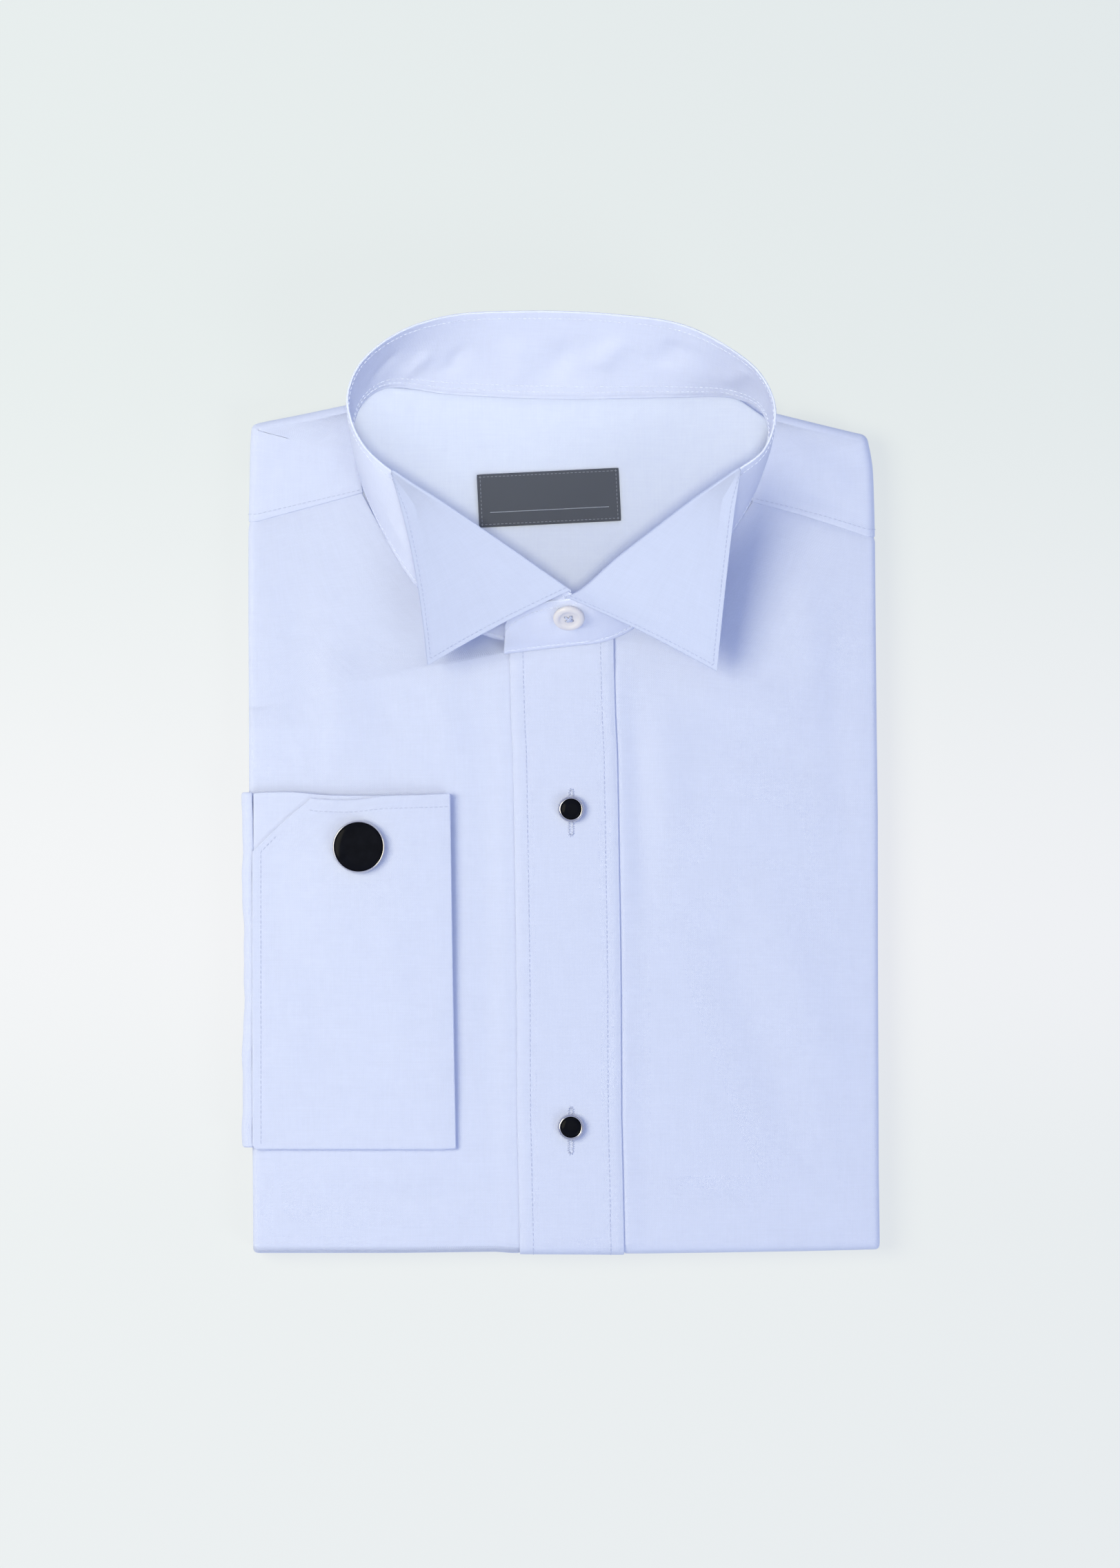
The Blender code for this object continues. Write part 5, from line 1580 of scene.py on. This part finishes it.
BUTTONHOLE_BITE = 0.45      # from the slit's outer edge to the middle of its stitches


def buttonhole_end(x, y, arm, first, last):
    """Places and directions of the stitches round one end of a slit."""
    return [((x + arm * math.cos(a), y + arm * math.sin(a)), (math.cos(a), math.sin(a)))
            for a in np.linspace(first, last, 8)[1:-1]]


def buttonhole_lines(low, high, x, z, wide=2.4, pitch=0.42):
    """Close satin stitches round a slit, with a rounded end."""
    radius = wide / 2
    arm = radius - BUTTONHOLE_BITE
    straight = high - low - wide
    path = [((x - arm, low + radius + s), (-1.0, 0.0)) for s in np.arange(0.0, straight, pitch)]
    path += buttonhole_end(x, high - radius, arm, math.pi, 0.0)
    path += [((x + arm, low + radius + s), (1.0, 0.0)) for s in np.arange(straight, 0.0, -pitch)]
    path += buttonhole_end(x, low + radius, arm, 0.0, -math.pi)
    line = []
    for k, ((px, py), (nx, ny)) in enumerate(path):
        reach = 0.42 if k % 2 else -0.42
        line.append((px, py, z + 0.12))
        line.append((px + nx * reach, py + ny * reach, z + (0.02 if k % 2 else 0.1)))
    return line


def pierce(piece, centres, radius=1.5):
    """Opens round holes for posts straight through a cloth."""
    for number, (x, y) in enumerate(centres):
        cut(piece, slab(f"post_room_{number}", round_outline(x, y, radius, 20), 8.0, 30.0))


STUD_CENTRES = tuple((x, y) for _, x, y in STUDS)


# ---------------------------------------------------------------- pieces
class StageMaker(bpy.types.Operator):
    """Makes the table, the camera and the soft light, once all pieces are there"""
    bl_idname = "shirt.stage"
    bl_label = "Table, camera and light"

    def execute(self, context):
        mesh = bpy.data.meshes.new("table_top")
        corners = [(x * TABLE_HALF, y * TABLE_HALF, 0.0) for x, y in SQUARE]
        mesh.from_pydata(corners, [], [(0, 1, 2, 3)])
        mesh.materials.append(table_painted_light_finish())
        table = linked("table_top", mesh)
        table.location.z = -TABLE_DROP
        self.camera(context)
        self.light(context)
        return {"FINISHED"}

    def camera(self, context):
        data = bpy.data.cameras.new("camera")
        data.sensor_fit = "HORIZONTAL"
        data.sensor_width = SENSOR_WIDTH
        data.lens = SENSOR_WIDTH * (CAMERA[2] - PLACKET_TOP_Z) / VIEW_WIDTH
        data.clip_end = 20.0
        camera = linked("camera", data)
        camera.location = Vector(plan_to_frame(CAMERA))
        context.scene.camera = camera

    def light(self, context):
        for name, place, size, power, tone in LAMPS:
            data = bpy.data.lights.new(name, "AREA")
            data.shape = "DISK"
            data.size = size
            data.energy = power
            data.color = tone
            lamp = linked(name, data)
            lamp.location = place
            lamp.rotation_euler = (-Vector(place)).to_track_quat("-Z", "Y").to_euler()
        world = bpy.data.worlds.new("studio")
        world.use_nodes = True
        ground = world.node_tree.nodes["Background"]
        ground.inputs["Color"].default_value = (*SKY, 1.0)
        ground.inputs["Strength"].default_value = SKY_STRENGTH
        context.scene.world = world
        context.scene.view_settings.view_transform = "Standard"
        context.scene.view_settings.look = "None"
        neck = bpy.data.objects["neck_softbox"].light_linking
        left = bpy.data.objects["left_softbox"].light_linking
        neck.receiver_collection = light_group("neck_lit", NECK_PIECES, "INCLUDE")
        left.receiver_collection = light_group("left_unlit", INNER_PIECES, "EXCLUDE")
        left.blocker_collection = light_group("left_unblocked", BAND_PIECES, "EXCLUDE")


TABLE_HALF = 6.0            # half the table's side, and how far it lies below the packet, in metres
TABLE_DROP = 0.0002
CAMERA = (-0.5, -0.5, 2200.0)
SENSOR_WIDTH = 36.0
VIEW_WIDTH = 406.0          # how much of the placket's plane the picture's width shows
# name, place in metres, size, power, colour
LAMPS = (
    ("left_softbox", (-0.7, 0.1, 1.0), 0.8, 11.2, (1.0, 0.93, 0.62)),
    ("overhead_softbox", (0.3, 0.0, 3.2), 1.8, 4.5, (1.0, 0.93, 0.45)),
    ("right_softbox", (2.0, -1.8, 2.2), 1.6, 22.0, (0.96, 1.0, 0.89)),
    ("neck_softbox", (0.0, 0.0, 1.2), 0.25, 7.2, (1.0, 0.946, 0.64)),
)
NECK_PIECES = ("yoke_lining", "label", "collar_band", "collar_wing")
INNER_PIECES = ("yoke_lining", "label", "collar_wing")
BAND_PIECES = ("collar_band",)
SKY = (0.525, 0.622, 1.0)
SKY_STRENGTH = 0.66


def light_group(name, starts, state):
    """The pieces whose names begin with one of starts, as a light's linking collection."""
    group = bpy.data.collections.new(name)
    for piece in bpy.data.objects:
        if piece.type == "MESH" and piece.name.startswith(starts):
            group.objects.link(piece)
    for member in group.collection_objects:
        member.light_linking.link_state = state
    return group


class CoreMaker(bpy.types.Operator):
    """Makes the hidden layers of the packet"""
    bl_idname = "shirt.core"
    bl_label = "Hidden layers"

    def execute(self, context):
        settle(core_object(cotton_finish()), ["hidden_layers"])
        return {"FINISHED"}


class FrontMaker(bpy.types.Operator):
    """Makes both fronts with their turned-in sides"""
    bl_idname = "shirt.fronts"
    bl_label = "Fronts"

    def execute(self, context):
        thick = context.scene.shirt_sizes.cloth / MM
        for name, side in (("front_right", -1), ("front_left", 1)):
            piece = cloth(name + "_cloth", front_grid(side, thick), thick, cotton_finish())
            if side < 0:
                pierce(piece, STUD_CENTRES)
            settle(piece, [name])
        return {"FINISHED"}


class PlacketMaker(bpy.types.Operator):
    """Makes the placket with its two rows of stitching and the studs' buttonholes"""
    bl_idname = "shirt.placket"
    bl_label = "Placket"

    def execute(self, context):
        thick = context.scene.shirt_sizes.cloth / MM
        grid = placket_grid(thick)
        piece = cloth("placket_cloth", grid, thick, cotton_finish())
        pierce(piece, STUD_CENTRES)
        settle(piece, ["placket"])
        up = facing_up(grid)
        middle = len(PLACKET_COLUMNS) - 1
        column = PLACKET_COLUMNS.index(STITCH_INSET)
        rows = np.linspace(0.6, grid.shape[0] - 1.6, grid.shape[0] * 3)
        lines = [on_cloth(grid, thick, rows, middle + k, side=up) for k in (-column, column)]
        sewing = [stitches("placket_stitching", lines)]
        holes = [buttonhole_lines(*row, PLACKET_TOP_Z - 0.15) for row in STUD_HOLES]
        sewing.append(threads("stud_buttonholes", holes, 0.36))
        return {"FINISHED"}


# low y, high y, x of the buttonholes that the studs close
STUD_HOLES = ((-19.7, -2.0, 3.5), (-135.1, -117.2, 3.4))


class YokeMaker(bpy.types.Operator):
    """Makes the yoke over the shoulders and its stitched seams"""
    bl_idname = "shirt.yoke"
    bl_label = "Yoke"

    def execute(self, context):
        thick = context.scene.shirt_sizes.cloth / MM
        piece = settle(yoke_object(cotton_finish(), thick), ["yoke"])
        lines = []
        for side in (-1, 1):
            lobe = yoke_lobe(side, thick)
            columns = np.linspace(0.8, 30.0, 120)
            lines.append(on_cloth(lobe, thick, 2.0, columns, side=facing_up(lobe)))
        sewing = stitches("yoke_stitching", lines)
        return {"FINISHED"}


class LiningMaker(bpy.types.Operator):
    """Makes the inner yoke that shows inside the neck"""
    bl_idname = "shirt.lining"
    bl_label = "Inner yoke"

    def execute(self, context):
        piece = settle(lining_object(lining_painted_light_finish()), ["yoke_lining"])
        return {"FINISHED"}


class LabelMaker(bpy.types.Operator):
    """Makes the bare woven label, sewn on round its border"""
    bl_idname = "shirt.label"
    bl_label = "Label"

    def execute(self, context):
        length, width = LABEL_SIZE
        turn = math.radians(LABEL_TURN)
        across = np.array((math.cos(turn), math.sin(turn), 0.0))
        upward = np.array((-math.sin(turn), math.cos(turn), 0.0))
        middle = np.array((*LABEL_CENTRE, LABEL_Z + 0.4))
        u = np.linspace(-0.5, 0.5, LABEL_COLUMNS) * (length - 0.5)
        v = np.linspace(-0.5, 0.5, LABEL_ROWS) * (width - 0.5)
        grid = middle + u[None, :, None] * across + v[:, None, None] * upward
        to_ends = (length - 0.5) / 2 - np.abs(u)[None, :]
        edge = np.minimum(to_ends, (width - 0.5) / 2 - np.abs(v)[:, None])
        wave = 0.05 * np.sin(u * 1.9)[None, :] + 0.05 * np.sin(v * 2.1)[:, None]
        grid[..., 2] += 0.10 * smooth(edge / 2.5) + wave * (1.0 - smooth(edge / 3.0)) - 0.03
        piece = settle(cloth("label_patch", grid, LABEL_THICK, label_finish()), ["label"])
        up = facing_up(grid)

        def sewn(rows, columns, lift):
            return on_cloth(grid, LABEL_THICK, rows, columns, lift, up)

        last_r, last_c = LABEL_ROWS - 1.0, LABEL_COLUMNS - 1.0
        along, upwards = np.linspace(0.9, last_c - 0.9, 60), np.linspace(0.9, last_r - 0.9, 30)
        border = [sewn(row, along, 0.03) for row in (0.9, last_r - 0.9)]
        border += [sewn(upwards, column, 0.03) for column in (0.9, last_c - 0.9)]
        rule = [sewn(last_r * 0.27, np.linspace(4.0, last_c - 4.0, 60), 0.02)]
        shade = thread_finish("label_thread", tuple(context.scene.shirt_colours.label_thread))
        edge_shade = thread_finish("label_edge_thread", (0.27, 0.29, 0.34))
        sewing = [stitches("label_border", border, edge_shade, 0.8),
                  threads("label_rule", rule, 0.26, shade)]
        return {"FINISHED"}


class BandMaker(bpy.types.Operator):
    """Makes the collar band with its stitching"""
    bl_idname = "shirt.band"
    bl_label = "Collar band"

    def execute(self, context):
        thick = context.scene.shirt_sizes.collar_cloth / MM
        grid = band_grid(thick / 2)
        piece = settle(cloth("collar_band_cloth", grid, thick, collar_painted_shade_finish()), ["collar_band"])
        normal = band_frames(0.5)[2]
        outer = 1.0 if grid_normals(grid)[BAND_STATIONS // 2, 8] @ normal > 0 else -1.0
        rows = np.linspace(1.0, BAND_STATIONS - 2.0, BAND_STATIONS)
        top = grid.shape[1] - 6.0
        lines = [on_cloth(grid, thick, rows, column, side=side * outer) for column, side in
                 ((top, 1.0), (top, -1.0), (4.5, 1.0), (7.0, -1.0), (8.6, -1.0))]
        sewing = stitches("collar_band_stitching", lines)
        return {"FINISHED"}


class WingMaker(bpy.types.Operator):
    """Makes the two wings of the collar, stitched inside their edges"""
    bl_idname = "shirt.wings"
    bl_label = "Collar wings"

    def execute(self, context):
        thick = context.scene.shirt_sizes.collar_cloth / MM
        for name, first_x, last_x, span, tip, edge_bow in WINGS:
            grid = wing_grid(first_x, last_x, span, tip, edge_bow, thick / 2)
            piece = settle(cloth(name + "_cloth", grid, thick, cotton_finish()), [name])
            up = facing_up(grid)
            last_r, last_c = grid.shape[0] - 1, grid.shape[1] - 1
            front = on_cloth(grid, thick, 5.0, np.linspace(10.0, last_c - 5.0, 90), side=up)
            edge = on_cloth(grid, thick, np.linspace(5.0, last_r - 0.5, 120), last_c - 5.0, side=up)
            sewing = stitches(name + "_stitching", [np.vstack((front, edge[1:]))])
        return {"FINISHED"}


class ButtonMaker(bpy.types.Operator):
    """Makes the collar button with four holes and its crossed thread"""
    bl_idname = "shirt.button"
    bl_label = "Collar button"

    def execute(self, context):
        place = button_place()
        button = lathe("collar_button_resin", BUTTON_PROFILE, place, button_finish(), 72)
        radius, offset = BUTTON_HOLE
        corners = [(x * offset, y * offset) for x, y in SQUARE]
        for x, y in corners:
            cut(button, rod("button_hole", place @ Matrix.Translation((x, y, 0.0)), radius, -1.0, 4.0, 20))
        settle(button, ["collar_button"])
        lines = []
        for (ax, ay), (bx, by) in ((corners[0], corners[2]), (corners[1], corners[3])):
            for slide in (-0.16, 0.16):
                lift = 0.25 if ax * ay > 0 else 0.0
                path = ((ax + slide, ay - slide, 0.6), (ax * 0.95 + slide, ay * 0.95 - slide, 1.75),
                        (slide, -slide, 1.95 + lift), (bx * 0.95 + slide, by * 0.95 - slide, 1.75),
                        (bx + slide, by - slide, 0.6))
                if ax * ay < 0:
                    path = tuple((x, y + 2 * slide if x else y, z) for x, y, z in path)
                lines.append([tuple(place @ Vector(p)) for p in spline(path, 16)])
        threads("collar_button_thread", lines, 0.6)
        return {"FINISHED"}


class CuffMaker(bpy.types.Operator):
    """Makes the double cuff and the flattened sleeve that it ends"""
    bl_idname = "shirt.cuff"
    bl_label = "Cuff and sleeve"

    def execute(self, context):
        thick = context.scene.shirt_sizes.cuff_cloth / MM
        grid, top_rows = cuff_grid()
        piece = cloth("right_cuff_cloth", grid, thick, cotton_finish())
        pierce(piece, [LINK_CENTRE])
        settle(piece, ["right_cuff"])
        face = grid[:top_rows]
        up = facing_up(face)
        down = on_cloth(face, thick, np.linspace(16.0, top_rows - 1.0, 160), 6.0, side=up)
        across = on_cloth(face, thick, 7.0, np.linspace(9.0, 42.0, 120), side=up)
        sewing = stitches("cuff_stitching", [down, across])
        wall = context.scene.shirt_sizes.cloth / MM
        sleeve = cloth("right_sleeve_cloth", sleeve_grid(), wall, cotton_finish())
        settle(sleeve, ["right_sleeve"])
        return {"FINISHED"}


class JewelMaker(bpy.types.Operator):
    """Makes the two studs and the cufflink with their stones"""
    bl_idname = "shirt.jewels"
    bl_label = "Studs and cufflink"

    def execute(self, context):
        for name, x, y in STUDS:
            self.setting(name, x, y, PLACKET_TOP_Z + 0.3, STUD_RADIUS, STUD_STONE, STUD_HEIGHT)
        x, y = LINK_CENTRE
        base = cuff_height(x, y) + CUFF_OUTER_N + 0.4
        self.setting("cufflink", x, y, float(base), LINK_RADIUS, LINK_STONE, LINK_HEIGHT)
        return {"FINISHED"}

    def setting(self, name, x, y, base, radius, stone, height):
        place = Matrix.Translation((x, y, base))
        cup = lathe(name + "_setting", setting_profile(radius, stone, height), place, metal_finish())
        upright = Matrix.Translation((x, y, 0.0))
        if name == "cufflink":
            low = FRONT_TOP_Z + 0.2
            post = lathe(name + "_post", ((0.0, low + 0.4), (POST_RADIUS, low + 0.4),
                                          (POST_RADIUS, base + 0.2), (0.0, base + 0.2)),
                         upright, metal_finish(), 32)
            parts = [post, self.toggle(x, y, low)]
        else:
            high = FRONT_TOP_Z - 1.5
            low = high - STUD_BACK_THICK
            profile = rounded(((0.0, low), (STUD_BACK_RADIUS, low), (STUD_BACK_RADIUS, high),
                               (POST_RADIUS, high), (POST_RADIUS, base + 0.2), (0.0, base + 0.2)), 0.3)
            parts = [lathe(name + "_post", profile, upright, metal_finish(), 48)]
        joined(cup, parts)
        settle(cup, [name])
        jewel = lathe(name + "_onyx", stone_profile(stone, height), place, stone_finish())
        settle(jewel, [name + "_stone"])

    def toggle(self, x, y, low):
        length, width, thick = LINK_TOGGLE
        radius = width / 2
        outline = []
        for end, first in ((length / 2 - radius, 180.0), (radius - length / 2, 0.0)):
            for step in range(13):
                angle = math.radians(first - 15.0 * step)
                outline.append((x + radius * math.cos(angle), y + end + radius * math.sin(angle)))
        points, faces, uv = stack_data(pillow_loops(np.array(outline), low, low + thick, 8))
        return new_object("cufflink_toggle", points, faces, metal_finish(), uv)


def joined(target, others):
    """Adds the meshes of the other objects to the target's mesh."""
    bm = bmesh.new()
    bm.from_mesh(target.data)
    for other in others:
        bm.from_mesh(other.data)
        bpy.data.objects.remove(other)
    bm.to_mesh(target.data)
    bm.free()
    target.data.set_sharp_from_angle(angle=SHARP_ANGLE)


# ---------------------------------------------------------------- panel and run
# in the order they run: the stage is last, because its light linking needs the pieces
MAKERS = (CoreMaker, FrontMaker, PlacketMaker, YokeMaker, LiningMaker, LabelMaker, BandMaker,
          WingMaker, ButtonMaker, CuffMaker, JewelMaker, StageMaker)


class ShirtPanel(bpy.types.Panel):
    """Sizes and colours of the shirt, and a button for each of its pieces"""
    bl_idname = "VIEW3D_PT_folded_shirt"
    bl_label = "Folded formal shirt"
    bl_space_type = "VIEW_3D"
    bl_region_type = "UI"
    bl_category = "Shirt"

    def draw(self, context):
        for values in (context.scene.shirt_sizes, context.scene.shirt_colours):
            column = self.layout.column(align=True)
            for name in values.bl_rna.properties.keys():
                if name not in ("rna_type", "name"):
                    column.prop(values, name)
        column = self.layout.column(align=True)
        for maker in MAKERS:
            column.operator(maker.bl_idname)


CLASSES = (ShirtSizes, ShirtColours, *MAKERS, ShirtPanel)


def register():
    for one in CLASSES:
        bpy.utils.register_class(one)
    bpy.types.Scene.shirt_sizes = PointerProperty(type=ShirtSizes)
    bpy.types.Scene.shirt_colours = PointerProperty(type=ShirtColours)


def unregister():
    del bpy.types.Scene.shirt_colours
    del bpy.types.Scene.shirt_sizes
    for one in reversed(CLASSES):
        bpy.utils.unregister_class(one)


def main():
    register()
    for maker in MAKERS:
        family, name = maker.bl_idname.split(".")
        getattr(getattr(bpy.ops, family), name)()


if __name__ == "__main__":
    main()
